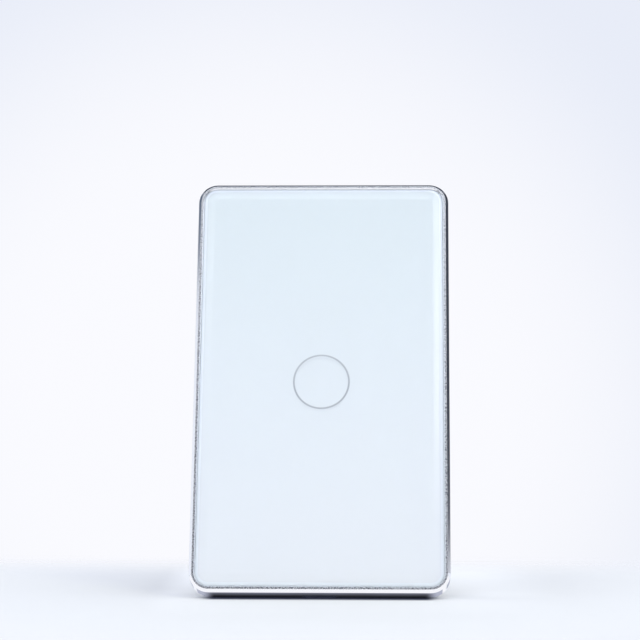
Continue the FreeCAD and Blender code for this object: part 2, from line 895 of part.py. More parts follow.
def touch_controller():
    return chip(0.0, touch_chip_z, control_front, -1, touch_chip_width, touch_chip_length,
                touch_chip_height, 5, 1.27, 0.4)


def clock_crystal():
    body = block(crystal_length, crystal_width, control_front - crystal_height, control_front,
                 crystal_x, touch_chip_z)
    return body.makeFillet(0.3, [e for e in body.Edges if abs(e.CenterOfMass.y - control_front) > 0.1
                                 and abs(e.CenterOfMass.y - control_front + crystal_height) > 0.1])


def chip_row(row_z, size):
    length, width, height = size
    first = -small_chip_pitch * (small_chip_count - 1) / 2
    return [block(length, width, control_front - height, control_front,
                  first + index * small_chip_pitch, row_z) for index in range(small_chip_count)]


def wireless_board():
    board = block(module_width, module_height, control_front - module_thickness, control_front,
                  0.0, module_z)
    cutters = []
    pads = 8
    pad_pitch = 2.0
    for side in (-1, 1):
        for index in range(pads):
            x = -shield_shift + (index - (pads - 1) / 2) * pad_pitch
            cutters.append(rod(0.4, control_front - module_thickness - 1, control_front + 1,
                               x, module_z + side * module_height / 2))
    return carve(board, cutters)


def wireless_shield():
    back = control_front - module_thickness
    front = back - shield_depth
    can = rounded_block(shield_width, shield_height, 0.8, front, back, -shield_shift, module_z)
    inside = rounded_block(shield_width - 2 * shield_wall, shield_height - 2 * shield_wall, 0.6,
                           front + shield_wall, back + 1, -shield_shift, module_z)
    return carve(can, [inside])


def connector_xs():
    return [connector_x + (index - (connector_pins - 1) / 2) * connector_pitch
            for index in range(connector_pins)]


def board_socket():
    width = connector_pins * connector_pitch
    body = block(width, connector_width, control_back, control_back + socket_depth,
                 connector_x, connector_z)
    holes = [rod(pin_radius + lead_gap, control_back + 0.2, control_back + socket_depth + 1, x, connector_z)
             for x in connector_xs()]
    return carve(body, holes)


def board_header():
    width = connector_pins * connector_pitch
    body = [block(width, connector_width, power_front - header_depth, power_front,
                  connector_x, connector_z)]
    for x in connector_xs():
        body.append(rod(pin_radius, control_back + 0.4, power_back + lead_tail, x, connector_z))
    return join(body)


def terminal_block(x):
    body = box(x - block_width / 2, x + block_width / 2, power_back, housing_back,
               block_bottom, block_top)
    cage_half = cage_width / 2 + cage_gap
    room = box(x - cage_half, x + cage_half, power_back - 1, ledge_front,
               cage_bottom - cage_gap, cage_top + cage_gap)
    bar_half = bar_width / 2 + lead_gap
    bar_end_z = cage_top + cage_gap + bar_leg_wall + bar_thickness
    bar_slot = box(x - bar_half, x + bar_half, bar_front - lead_gap, bar_back + lead_gap,
                   cage_top, bar_end_z + lead_gap)
    leg_slot = box(x - bar_half, x + bar_half, power_back - 1, bar_back + lead_gap,
                   bar_end_z - bar_thickness - lead_gap, bar_end_z + lead_gap)
    wire_y = cage_front + cage_wall + wire_gap / 2
    wire_hole = rod_z(wire_hole_radius, block_bottom - 1, cage_bottom, x, wire_y)
    shank_hole = rod(clamp_screw_radius + fit_gap, ledge_front - 1, housing_back, x, cage_z)
    well = rod(clamp_head_radius + clamp_well_gap, ledge_back, housing_back + 1, x, cage_z)
    return carve(body, [room, bar_slot, leg_slot, wire_hole, shank_hole, well])


def terminal_bars():
    bars = []
    end_z = cage_top + cage_gap + bar_leg_wall + bar_thickness
    for x in poles.values():
        bar = box(x - bar_width / 2, x + bar_width / 2, bar_front, bar_back, cage_bottom, end_z)
        leg = box(x - bar_width / 2, x + bar_width / 2, power_front - lead_tail, bar_back,
                  end_z - bar_thickness, end_z)
        bars.append(join([bar, leg]))
    return bars


def clamp_cage(x):
    cage = box(x - cage_width / 2, x + cage_width / 2, cage_front, cage_back, cage_bottom, cage_top)
    room = box(x - cage_width / 2 + cage_wall, x + cage_width / 2 - cage_wall,
               cage_front + cage_wall, cage_nut_front, cage_bottom - 1, cage_top + 1)
    thread = rod(clamp_screw_radius + clamp_thread_gap, cage_nut_front - 1, cage_back + 1, x, cage_z)
    return carve(cage, [room, thread])


def terminal_screw(x):
    head = rounded_disc(clamp_head_radius, 0.0, clamp_head_height, 0.5)
    head.rotate(Vector(0, 0, 0), Vector(0, 0, 1), 180)
    head.translate(Vector(0, clamp_seat + clamp_head_height, 0))
    shank = rod(clamp_screw_radius, bar_back + bar_tip_gap, clamp_seat + 0.5)
    body = join([head, shank])
    deep = clamp_seat + clamp_head_height * (1 - recess_share)
    slot = block(2 * clamp_head_radius + 1, 1.1, deep, clamp_seat + clamp_head_height + 1)
    cross = block(1.1, 3.4, deep, clamp_seat + clamp_head_height + 1)
    body = carve(body, [slot, cross])
    body.translate(Vector(x, 0, cage_z))
    return body


# Relay places: heights are above the power board, and along is measured from its middle.
relay_inner_width = relay_width - 2 * relay_wall
relay_inner_length = relay_length - 2 * relay_wall
relay_inner_corner = 0.3
frame_leg_top = relay_height - relay_wall - frame_top_gap
frame_leg_low = frame_leg_top - relay_steel
bobbin_start = -frame_end + relay_steel + relay_gap
bobbin_end = bobbin_start + coil_length
pole_start = bobbin_end + relay_gap
armature_face = pole_start + pole_thickness + pole_air_gap
arm_face = armature_face + relay_steel
steel_x0 = coil_x - relay_steel_width / 2
steel_x1 = coil_x + relay_steel_width / 2
relay_pin_spots = ((-6.6, -6.0), (0.6, -6.0), (coil_x, -frame_end + relay_steel / 2))
fixed_post_along = arm_face - contact_thickness - contact_air_gap
fixed_post_back = fixed_post_along - contact_thickness
contact_pin_spot = (contact_x, fixed_post_back - contact_post_thickness / 2)


def relay_box(x0, x1, h0, h1, a0, a1):
    return box(relay_x + x0, relay_x + x1, power_back + h0, power_back + h1, relay_z + a0, relay_z + a1)


def relay_rod(radius, a0, a1, x, h):
    return rod_z(radius, relay_z + a0, relay_z + a1, relay_x + x, power_back + h)


def relay_pin(x, along, top):
    return rod(relay_pin_radius, power_front - lead_tail, power_back + top, relay_x + x, relay_z + along)


def relay_base():
    tray = rounded_block(relay_inner_width - 2 * relay_gap, relay_inner_length - 2 * relay_gap,
                         relay_inner_corner, power_back, power_back + relay_base_thickness,
                         relay_x, relay_z)
    holes = relay_pin_spots + (contact_pin_spot,)
    cutters = [rod(relay_pin_radius + relay_gap, power_front, power_back + relay_height,
                   relay_x + x, relay_z + along) for x, along in holes]
    post_half = contact_post_width / 2 + relay_gap
    cutters.append(relay_box(contact_x - post_half, contact_x + post_half, -1.0, relay_height,
                             fixed_post_back - contact_post_thickness - relay_gap,
                             fixed_post_back + relay_gap))
    return carve(tray, cutters)


def relay_cover():
    outer = rounded_block(relay_width, relay_length, 0.8, power_back, power_back + relay_height,
                          relay_x, relay_z)
    inner = rounded_block(relay_inner_width, relay_inner_length, relay_inner_corner, power_back - 1,
                          power_back + relay_height - relay_wall, relay_x, relay_z)
    return carve(outer, [inner])


def relay_bobbin():
    half = flange_side / 2
    inner = core_radius + core_gap
    parts = [relay_rod(inner + bobbin_wall, bobbin_start, bobbin_end, coil_x, coil_height)]
    for start in (bobbin_start, bobbin_end - flange_thickness):
        parts.append(relay_box(coil_x - half, coil_x + half, coil_height - half, coil_height + half,
                               start, start + flange_thickness))
    return carve(join(parts), [relay_rod(inner, bobbin_start - 1, bobbin_end + 1, coil_x, coil_height)])


def relay_winding():
    start = bobbin_start + flange_thickness + relay_gap
    end = bobbin_end - flange_thickness - relay_gap
    inner = core_radius + core_gap + bobbin_wall + relay_gap
    wound = relay_rod(coil_radius, start, end, coil_x, coil_height)
    return carve(wound, [relay_rod(inner, start - 1, end + 1, coil_x, coil_height)])


def relay_core():
    shaft = relay_rod(core_radius, -frame_end, pole_start + pole_thickness, coil_x, coil_height)
    pole = relay_rod(pole_radius, pole_start, pole_start + pole_thickness, coil_x, coil_height)
    return join([shaft, pole])


def relay_frame():
    low = relay_base_thickness + relay_gap
    leg = relay_box(steel_x0, steel_x1, frame_leg_low, frame_leg_top,
                    -frame_end, armature_face - hinge_air_gap)
    foot = relay_box(steel_x0, steel_x1, low, frame_leg_top, -frame_end, -frame_end + relay_steel)
    hole = relay_rod(core_radius + core_gap, -frame_end - 1, -frame_end + relay_steel + 1,
                     coil_x, coil_height)
    return carve(join([leg, foot]), [hole])


def relay_fixed_contact():
    half = contact_post_width / 2
    post = relay_box(contact_x - half, contact_x + half, 0.0, contact_height + contact_radius,
                     fixed_post_back - contact_post_thickness, fixed_post_back)
    pin = relay_pin(*contact_pin_spot, 0.5)
    button = relay_rod(contact_radius, fixed_post_back, fixed_post_along, contact_x, contact_height)
    return join([post, pin, button])


def relay_pins():
    tops = (relay_base_thickness + 0.4, relay_base_thickness + 0.4, relay_base_thickness)
    return [relay_pin(x, along, top) for (x, along), top in zip(relay_pin_spots, tops)]


def relay_armature():
    return relay_box(steel_x0, steel_x1, frame_leg_top - armature_drop, frame_leg_top,
                     armature_face, arm_face)


def relay_contact_arm():
    half = arm_width / 2
    low = contact_height - half
    upright = relay_box(coil_x - half, coil_x + half, low, frame_leg_top - 0.6,
                        arm_face, arm_face + arm_thickness)
    across = relay_box(coil_x - half, arm_reach, low, contact_height + half,
                       arm_face, arm_face + arm_thickness)
    button = relay_rod(contact_radius, arm_face - contact_thickness, arm_face,
                       contact_x, contact_height)
    return join([upright, across, button])


def transformer_box(x0, x1, h0, h1, a0, a1):
    middle = power_back + transformer_height
    return box(transformer_x + x0, transformer_x + x1, middle + h0, middle + h1,
               transformer_z + a0, transformer_z + a1)


def transformer_core():
    halves = []
    half_t = core_thickness / 2
    half_w = core_width / 2
    for sign in (-1, 1):
        ends = sorted((sign * core_length / 2, sign * (core_length / 2 - core_back)))
        back = transformer_box(-half_w, half_w, -half_t, half_t, *ends)
        reach = sorted((0.0, sign * core_length / 2))
        legs = [transformer_box(-half_w, -half_w + core_side_leg, -half_t, half_t, *reach),
                transformer_box(half_w - core_side_leg, half_w, -half_t, half_t, *reach),
                transformer_box(-core_middle_leg / 2, core_middle_leg / 2, -half_t, half_t, *reach)]
        halves.append(join([back] + legs))
    return halves


def rail_spots():
    along = core_length / 2 - core_back / 2
    return [(transformer_x + (index - (rail_pins - 1) / 2) * rail_pitch, transformer_z + sign * along)
            for sign in (-1, 1) for index in range(rail_pins)]


def transformer_bobbin():
    bore_x = core_middle_leg / 2 + spool_gap
    bore_y = core_thickness / 2 + spool_gap
    half_z = spool_length / 2
    parts = [transformer_box(-bore_x - spool_wall, bore_x + spool_wall, -bore_y - spool_wall,
                             bore_y + spool_wall, -half_z, half_z)]
    half_fx = spool_flange_x / 2
    half_fy = spool_flange_y / 2
    for sign in (-1, 1):
        ends = sorted((sign * half_z, sign * (half_z - spool_flange_thickness)))
        parts.append(transformer_box(-half_fx, half_fx, -half_fy, half_fy, *ends))
        rail = sorted((sign * (half_z - spool_flange_thickness), sign * (half_z + rail_length)))
        parts.append(box(transformer_x - rail_width / 2, transformer_x + rail_width / 2, power_back,
                         power_back + rail_height, transformer_z + rail[0], transformer_z + rail[1]))
    for x, z in rail_spots():
        parts.append(rod(lead_radius, power_front - lead_tail, power_back + 0.5, x, z))
    bore = transformer_box(-bore_x, bore_x, -bore_y, bore_y, -half_z - 1, half_z + 1)
    return carve(join(parts), [bore])


def transformer_winding():
    inner_x = core_middle_leg / 2 + 2 * spool_gap + spool_wall
    inner_y = core_thickness / 2 + 2 * spool_gap + spool_wall
    half_z = spool_length / 2 - spool_flange_thickness - spool_gap
    wound = transformer_box(-winding_x / 2, winding_x / 2, -winding_y / 2, winding_y / 2,
                            -half_z, half_z)
    return carve(wound, [transformer_box(-inner_x, inner_x, -inner_y, inner_y,
                                         -half_z - 1, half_z + 1)])


# A capacitor can along Y at the origin, with its base at y 0 and the crimp near it.
def capacitor_can(radius, length):
    can = rod(radius, 0.0, length)
    rims = [e for e in can.Edges if e.Length > radius and isinstance(e.Curve, Part.Circle)]
    can = can.makeFillet(0.4, rims)
    groove = tube(radius + 1, radius - crimp_depth, crimp_from_base, crimp_from_base + crimp_width)
    cross = [block(radius * 1.2, 0.3, length - 0.2, length + 1),
             block(0.3, radius * 1.2, length - 0.2, length + 1)]
    return carve(can, [groove] + cross)


def bulk_lead_spots():
    return [(bulk_x + bulk_length + bulk_lead_bend, row + sign * bulk_lead_spread)
            for row in bulk_rows for sign in (-1, 1)]


def bulk_capacitors():
    shapes = []
    lift = power_back + bulk_radius + fit_gap
    spots = bulk_lead_spots()
    for index, row in enumerate(bulk_rows):
        can = capacitor_can(bulk_radius, bulk_length)
        can.rotate(Vector(0, 0, 0), Vector(0, 0, 1), 90)
        can.translate(Vector(bulk_x + bulk_length, lift, row))
        parts = [can]
        for x, z in spots[2 * index:2 * index + 2]:
            parts.append(rod_x(lead_radius, bulk_x + bulk_length - 1, x, lift, z))
            parts.append(Part.makeSphere(lead_radius, Vector(x, lift, z)))
            parts.append(rod(lead_radius, power_front - lead_tail, lift, x, z))
        shapes.append(join(parts))
    return shapes


def output_lead_spots():
    return [(output_x + sign * 1.25, output_z) for sign in (-1, 1)]


def output_capacitor():
    can = capacitor_can(output_radius, output_length)
    can.translate(Vector(output_x, power_back + fit_gap, output_z))
    leads = [rod(lead_radius, power_front - lead_tail, power_back + 1, x, z)
             for x, z in output_lead_spots()]
    return join([can] + leads)


def film_cap_lead_spots():
    return [(film_cap_x + sign * 5.0, film_cap_z) for sign in (-1, 1)]


def suppression_capacitor():
    body = block(film_cap_width, film_cap_thickness, power_back + fit_gap,
                 power_back + film_cap_height, film_cap_x, film_cap_z)
    body = body.makeFillet(film_cap_edge, body.Edges)
    leads = [rod(lead_radius, power_front - lead_tail, power_back + 1, x, z)
             for x, z in film_cap_lead_spots()]
    return join([body] + leads)


def varistor_lead_spots():
    return [(varistor_x + sign * 2.5, varistor_z + sign * 0.5) for sign in (-1, 1)]


def varistor():
    middle = power_back + varistor_lift + varistor_radius
    start = varistor_z - varistor_thickness / 2
    disc = rod_z(varistor_radius, start, start + varistor_thickness, varistor_x, middle)
    rims = [e for e in disc.Edges if e.Length > varistor_radius and isinstance(e.Curve, Part.Circle)]
    disc = disc.makeFillet(varistor_edge, rims)
    leads = [rod(lead_radius, power_front - lead_tail, middle - varistor_radius / 2, x, z)
             for x, z in varistor_lead_spots()]
    return join([disc] + leads)


def fuse_lead_spots():
    return [(fuse_x, fuse_z + sign * (fuse_length / 2 + fuse_lead_reach)) for sign in (-1, 1)]


def fuse():
    lift = power_back + fuse_radius + fit_gap
    half = fuse_length / 2
    parts = [rod_z(fuse_radius - fuse_neck, fuse_z - half, fuse_z + half, fuse_x, lift),
             rod_z(fuse_radius, fuse_z - half, fuse_z - half + fuse_cap, fuse_x, lift),
             rod_z(fuse_radius, fuse_z + half - fuse_cap, fuse_z + half, fuse_x, lift)]
    spots = fuse_lead_spots()
    parts.append(rod_z(lead_radius, spots[0][1], spots[1][1], fuse_x, lift))
    for x, z in spots:
        parts.append(Part.makeSphere(lead_radius, Vector(x, lift, z)))
        parts.append(rod(lead_radius, power_front - lead_tail, lift, x, z))
    return join(parts)


def bridge_rectifier():
    return chip(bridge_x, bridge_z, power_back, 1, bridge_width, bridge_length,
                bridge_height, 2, 2.5, 0.6)


def power_controller():
    return chip(controller_x, controller_z, power_back, 1, controller_width, controller_length,
                controller_height, 4, 1.27, 0.4)


def voltage_regulator():
    return chip(regulator_x, regulator_z, power_back, 1, regulator_width, regulator_length,
                regulator_height, 2, 2.3, 0.7)


def drum_lead_spots():
    return [(drum_x + sign * 2.4, drum_z) for sign in (-1, 1)]


def filter_inductor():
    low = power_back + fit_gap
    parts = [rod(drum_radius, low, low + drum_flange, drum_x, drum_z),
             rod(drum_neck, low, low + drum_height, drum_x, drum_z),
             rod(drum_radius, low + drum_height - drum_flange, low + drum_height, drum_x, drum_z)]
    for x, z in drum_lead_spots():
        parts.append(rod(lead_radius, power_front - lead_tail, low + drum_flange / 2, x, z))
    return join(parts)


def inductor_winding():
    low = power_back + fit_gap + drum_flange + relay_gap
    high = power_back + fit_gap + drum_height - drum_flange - relay_gap
    return tube(drum_neck + drum_winding, drum_neck + relay_gap, low, high, drum_x, drum_z)


def power_board():
    board = rounded_block(board_width, power_board_height, board_corner, power_front, power_back)
    low = power_front - 1
    high = power_back + 1
    cutters = [rod(boss_radius + 2 * fit_gap, low, high, x, z) for x, z in corner_spots(boss_x, boss_z)]
    for x, z in corner_spots(boss_x, boss_z):
        outward_x = boss_x + boss_radius if x > 0 else -boss_x - boss_radius
        outward_z = boss_z + boss_radius if z > 0 else -boss_z - boss_radius
        cutters.append(box(min(x, outward_x) - 2 * fit_gap, max(x, outward_x) + 2 * fit_gap, low, high,
                           min(z, outward_z) - 2 * fit_gap, max(z, outward_z) + 2 * fit_gap))
    for x, z in corner_spots(post_x, control_post_z):
        cutters.append(rod(post_radius + 2 * fit_gap, low, high, x, z))
    for sign in (-1, 1):
        cutters.append(rod(board_screw_radius + fit_gap, low, high, sign * post_x, power_post_z))
    thin = rail_spots() + bulk_lead_spots() + output_lead_spots() + film_cap_lead_spots()
    thin += varistor_lead_spots() + fuse_lead_spots() + drum_lead_spots()
    cutters += [rod(lead_radius + lead_gap, low, high, x, z) for x, z in thin]
    cutters += [rod(pin_radius + lead_gap, low, high, x, connector_z) for x in connector_xs()]
    for x, along in relay_pin_spots + (contact_pin_spot,):
        cutters.append(rod(relay_pin_radius + lead_gap, low, high, relay_x + x, relay_z + along))
    leg_z = cage_top + cage_gap + bar_leg_wall + bar_thickness / 2
    for x in poles.values():
        cutters.append(block(bar_width + 2 * lead_gap, bar_thickness + 2 * lead_gap, low, high, x, leg_z))
    return carve(board, cutters)


def power_board_screws():
    return [screw(sign * post_x, power_post_z, power_front, 1, board_screw_head,
                  board_screw_head_height, board_screw_radius, board_screw_length)
            for sign in (-1, 1)]


nodes = {
    "glass_panel": glass_panel(),
    "print_film": print_film(),
    "panel_adhesive": panel_adhesive(),
    "trim_frame": trim_frame(),
    "front_carrier": front_carrier(),
    "light_guide_ring": light_guide_ring(),
    "base_frame": base_frame(),
    "mounting_yoke": mounting_yoke(),
    "housing_screws": housing_screws(),
    "ground_screw": ground_screw(),
    "ground_clamp": ground_clamp(),
    "rear_housing": rear_housing(),
    "control_board": control_board(),
    "control_board_screws": control_board_screws(),
    "touch_spring": touch_spring(),
    "indicator_leds": indicator_leds(),
    "touch_controller": touch_controller(),
    "clock_crystal": clock_crystal(),
    "chip_resistors": chip_row(resistor_row_z, resistor_size),
    "chip_capacitors": chip_row(capacitor_row_z, capacitor_size),
    "wireless_board": wireless_board(),
    "wireless_shield": wireless_shield(),
    "board_socket": board_socket(),
    "board_header": board_header(),
    "power_board": power_board(),
    "power_board_screws": power_board_screws(),
    "terminal_bars": terminal_bars(),
    "relay_base": relay_base(),
    "relay_cover": relay_cover(),
    "relay_bobbin": relay_bobbin(),
    "relay_winding": relay_winding(),
    "relay_core": relay_core(),
    "relay_frame": relay_frame(),
    "relay_fixed_contact": relay_fixed_contact(),
    "relay_pins": relay_pins(),
    "relay_armature": relay_armature(),
    "relay_contact_arm": relay_contact_arm(),
    "transformer_core": transformer_core(),
    "transformer_bobbin": transformer_bobbin(),
    "transformer_winding": transformer_winding(),
    "bulk_capacitors": bulk_capacitors(),
    "output_capacitor": output_capacitor(),
    "suppression_capacitor": suppression_capacitor(),
    "varistor": varistor(),
    "fuse": fuse(),
    "bridge_rectifier": bridge_rectifier(),
    "power_controller": power_controller(),
    "voltage_regulator": voltage_regulator(),
    "filter_inductor": filter_inductor(),
    "inductor_winding": inductor_winding(),
}
for pole, pole_x in poles.items():
    nodes["terminal_block_" + pole] = terminal_block(pole_x)
    nodes["clamp_cage_" + pole] = clamp_cage(pole_x)
    nodes["terminal_screw_" + pole] = terminal_screw(pole_x)

for name, shape in nodes.items():
    pieces = shape if isinstance(shape, list) else [shape]
    solids = [solid for piece in pieces for solid in piece.Solids]
    whole = solids[0] if len(solids) == 1 else Part.makeCompound(solids)
    whole.exportStep("parts/" + name + ".step")
    print(name, len(solids), "solids", round(whole.Volume, 2), "mm3", whole.isValid())

print("least gap between turns of the touch spring", round(spring_gap(), 2))
print("front of the glass", round(glass_front, 3), "lip", round(lip_front, 3))
print("back of the housing", round(housing_back, 3), "clamp travel", round(clamp_travel, 3))
print("ground clamp travel", round(ground_travel, 4))
print("relay hinge", round(relay_x, 3), round(power_back + frame_leg_top, 3),
      round(relay_z + armature_face, 3))
print("ground tab", round(tab_z, 3), "relay", round(relay_x, 3), round(relay_z, 3),
      "gaps", round(left_gap, 3), round(right_gap, 3))
print("wire holes", round(cage_front + cage_wall + wire_gap / 2, 3), "cages", round(cage_z, 3))
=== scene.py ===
import json
import math

import bmesh
import bpy
from mathutils import Matrix, Vector


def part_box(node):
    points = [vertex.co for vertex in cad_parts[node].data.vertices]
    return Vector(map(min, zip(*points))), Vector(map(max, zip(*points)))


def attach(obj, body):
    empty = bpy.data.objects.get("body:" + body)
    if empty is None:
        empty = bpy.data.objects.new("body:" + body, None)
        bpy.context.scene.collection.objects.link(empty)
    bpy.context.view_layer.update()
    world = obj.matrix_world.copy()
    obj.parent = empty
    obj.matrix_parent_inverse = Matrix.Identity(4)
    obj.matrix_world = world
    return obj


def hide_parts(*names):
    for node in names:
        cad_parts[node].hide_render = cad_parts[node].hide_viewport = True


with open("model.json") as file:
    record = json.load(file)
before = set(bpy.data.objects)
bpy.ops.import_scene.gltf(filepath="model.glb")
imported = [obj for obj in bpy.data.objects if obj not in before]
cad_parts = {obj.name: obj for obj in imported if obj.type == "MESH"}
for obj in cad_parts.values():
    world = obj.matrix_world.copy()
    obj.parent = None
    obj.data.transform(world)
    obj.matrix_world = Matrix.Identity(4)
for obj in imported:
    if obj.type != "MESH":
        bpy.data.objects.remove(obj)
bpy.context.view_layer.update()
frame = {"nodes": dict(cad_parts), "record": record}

mm = 0.001
scene = bpy.context.scene
scene.view_settings.view_transform = "Standard"
print("frame loaded:", len(frame["nodes"]), "nodes")


# Camera, solved from the plate's edges in the photograph

photoCamera = {
    "focalPixels": 2419.0,
    "imagePixels": 640.0,
    "sensor": 36.0,                       # mm
    "lean": 18.57,                        # degrees that the plate leans back from the view
    "yaw": -1.92,
    "roll": 0.65,
    "distance": (0.0004, 0.6807, -0.0175),  # metres from the camera to the aim: right, ahead, up
    "aim": (0.0, -0.0066, 0.0),           # middle of the metal lip's plane
}


def addCamera(look):
    data = bpy.data.cameras.new("photoCamera")
    data.sensor_width = look["sensor"]
    data.lens = look["focalPixels"] * look["sensor"] / look["imagePixels"]
    camera = bpy.data.objects.new("photoCamera", data)
    scene.collection.objects.link(camera)
    roll = Matrix.Rotation(math.radians(look["roll"]), 4, "Y")
    lean = Matrix.Rotation(math.radians(-look["lean"]), 4, "X")
    yaw = Matrix.Rotation(math.radians(look["yaw"]), 4, "Z")
    ahead = Matrix.Translation(look["distance"])
    place = ahead @ roll @ lean @ yaw @ Matrix.Translation(-Vector(look["aim"]))
    camera.matrix_world = (Matrix.Rotation(math.radians(-90), 4, "X") @ place).inverted()
    scene.camera = camera


addCamera(photoCamera)
print("camera placed")


# Small helpers for node trees

def feed(tree, socket, value):
    if isinstance(value, bpy.types.NodeSocket):
        tree.links.new(value, socket)
    else:
        socket.default_value = value


def calc(tree, operation, first, second=None, third=None):
    node = tree.nodes.new("ShaderNodeMath")
    node.operation = operation
    for socket, value in zip(node.inputs, (first, second, third)):
        if value is not None:
            feed(tree, socket, value)
    return node.outputs[0]


def ramp(tree, value, low, high, lowOut=0.0, highOut=1.0, kind="SMOOTHSTEP"):
    node = tree.nodes.new("ShaderNodeMapRange")
    node.interpolation_type = kind
    feed(tree, node.inputs["Value"], value)
    node.inputs["From Min"].default_value = low
    node.inputs["From Max"].default_value = high
    node.inputs["To Min"].default_value = lowOut
    node.inputs["To Max"].default_value = highOut
    return node.outputs["Result"]


def band(tree, value, low, high, soft):
    rise = ramp(tree, value, low - soft, low + soft)
    fall = ramp(tree, value, high - soft, high + soft, 1.0, 0.0)
    return calc(tree, "MULTIPLY", rise, fall)


# A Mix node has a pair of inputs for each kind: 2 and 3 for values, 6 and 7 for colours

def mixColour(tree, mask, first, second):
    node = tree.nodes.new("ShaderNodeMix")
    node.data_type = "RGBA"
    feed(tree, node.inputs[0], mask)
    for socket, value in ((node.inputs[6], first), (node.inputs[7], second)):
        feed(tree, socket, value if isinstance(value, bpy.types.NodeSocket) else (*value, 1.0))
    return node.outputs[2]


def mixValue(tree, mask, first, second):
    node = tree.nodes.new("ShaderNodeMix")
    feed(tree, node.inputs[0], mask)
    feed(tree, node.inputs[2], first)
    feed(tree, node.inputs[3], second)
    return node.outputs[0]


def mixShader(tree, mask, first, second):
    node = tree.nodes.new("ShaderNodeMixShader")
    tree.links.new(mask, node.inputs["Fac"])
    tree.links.new(first, node.inputs[1])
    tree.links.new(second, node.inputs[2])
    return node.outputs["Shader"]


def objectCoords(tree):
    return tree.nodes.new("ShaderNodeTexCoord").outputs["Object"]


def axisValue(tree, axis):
    split = tree.nodes.new("ShaderNodeSeparateXYZ")
    tree.links.new(objectCoords(tree), split.inputs[0])
    return split.outputs[axis]


def stretched(tree, vector, scale, turn=(0.0, 0.0, 0.0)):
    mapping = tree.nodes.new("ShaderNodeMapping")
    mapping.inputs["Scale"].default_value = scale
    mapping.inputs["Rotation"].default_value = turn
    tree.links.new(vector, mapping.inputs["Vector"])
    return mapping.outputs["Vector"]


def noise(tree, vector, scale, detail):
    node = tree.nodes.new("ShaderNodeTexNoise")
    feed(tree, node.inputs["Vector"], vector)
    feed(tree, node.inputs["Scale"], scale)
    node.inputs["Detail"].default_value = detail
    return node.outputs["Fac"]


def along(tree, vector, axis):
    node = tree.nodes.new("ShaderNodeVectorMath")
    node.operation = "DOT_PRODUCT"
    tree.links.new(vector, node.inputs[0])
    node.inputs[1].default_value = axis
    return node.outputs["Value"]


# Studio: surroundings, floor and two soft lamps. The floor is level with the view, so in the
# object's own frame it tilts by as much as the plate leans.

studioTilt = photoCamera["lean"]


def studioAxes(tilt):
    turn = math.radians(tilt)
    forward = Vector((0.0, math.cos(turn), math.sin(turn)))
    upward = Vector((0.0, -math.sin(turn), math.cos(turn)))
    return forward, upward


# Surroundings: the camera sees a pale glow, matt surfaces one even colour, and polished ones cards

backdropLook = {
    "glowCentre": (0.955, 0.96, 1.0),
    "glowEdge": (0.81, 0.845, 0.94),
    "glowReach": (4.7, 12.3),             # degrees from its middle: where it starts to fade, where it ends
    "glowAim": (-3.4, -2.3),              # degrees round and up from the view's middle
    "ambient": (1.18, 1.24, 1.50),
}
# Each card's span round from behind the camera and up from level, and the softness of both edges,
# are in degrees. A later card covers an earlier one.
mirrorCards = {
    "behindCamera": {"round": (-90, 90), "up": (-90, 90), "soft": (12, 5), "colour": (0.18, 0.19, 0.22)},
    "right": {"round": (60, 150), "up": (4.6, 80), "soft": (8, 0.5), "colour": (0.05, 0.056, 0.075)},
    "left": {"round": (-150, -60), "up": (9.95, 80), "soft": (8, 0.45), "colour": (0.12, 0.15, 0.21)},
    "aheadRight": {"round": (150, 400), "up": (13, 90), "soft": (8, 3), "colour": (0.03, 0.04, 0.07)},
    "aheadLeft": {"round": (-400, -150), "up": (13, 90), "soft": (8, 3), "colour": (0.03, 0.04, 0.07)},
    "softbox": {"round": (13, 55), "up": (32.8, 80), "soft": (3.5, 4), "colour": (3.9, 4.0, 4.1)},
    "leftStrip": {"round": (-26, -13), "up": (35, 80), "soft": (2, 3), "colour": (1.3, 1.34, 1.4)},
    "highStrip": {"round": (-16, 9), "up": (44.5, 75), "soft": (3, 2), "colour": (1.9, 1.95, 2.05)},
}


def glowSeen(tree, look, direction, forward, upward):
    aside, rise = (math.radians(angle) for angle in look["glowAim"])
    middle = forward * math.cos(rise) + upward * math.sin(rise) + Vector((math.sin(aside), 0.0, 0.0))
    near, far = (math.cos(math.radians(angle)) for angle in look["glowReach"])
    glow = ramp(tree, along(tree, direction, middle.normalized()), far, near)
    return mixColour(tree, glow, look["glowEdge"], look["glowCentre"])


def cardsSeen(tree, cards, behind, direction, forward, upward):
    sideways = along(tree, direction, (1.0, 0.0, 0.0))
    around = calc(tree, "ARCTAN2", sideways, along(tree, direction, -forward))
    height = calc(tree, "ARCSINE", along(tree, direction, upward))
    for card in cards.values():
        masks = []
        for angle, span, soft in zip((around, height), (card["round"], card["up"]), card["soft"]):
            masks.append(band(tree, angle, math.radians(span[0]), math.radians(span[1]), math.radians(soft)))
        behind = mixColour(tree, calc(tree, "MULTIPLY", *masks), behind, card["colour"])
    return behind


def makeWorld(look, cards, tilt):
    forward, upward = studioAxes(tilt)
    world = bpy.data.worlds.new("studio")
    world.use_nodes = True
    world.cycles.sampling_method = "NONE"  # the even light reaches the print through the real glass only
    scene.world = world
    tree = world.node_tree
    direction = tree.nodes.new("ShaderNodeTexCoord").outputs["Generated"]
    seen = glowSeen(tree, look, direction, forward, upward)
    mirrored = cardsSeen(tree, cards, seen, direction, forward, upward)
    path = tree.nodes.new("ShaderNodeLightPath")
    straight = calc(tree, "MAXIMUM", path.outputs["Is Camera Ray"], path.outputs["Is Transmission Ray"])
    unscattered = calc(tree, "LESS_THAN", path.outputs["Diffuse Depth"], 0.5)
    colour = mixColour(tree, calc(tree, "MULTIPLY", straight, unscattered), look["ambient"], seen)
    polished = calc(tree, "MULTIPLY", path.outputs["Is Glossy Ray"], unscattered)
    tree.links.new(mixColour(tree, polished, colour, mirrored), tree.nodes["Background"].inputs["Color"])


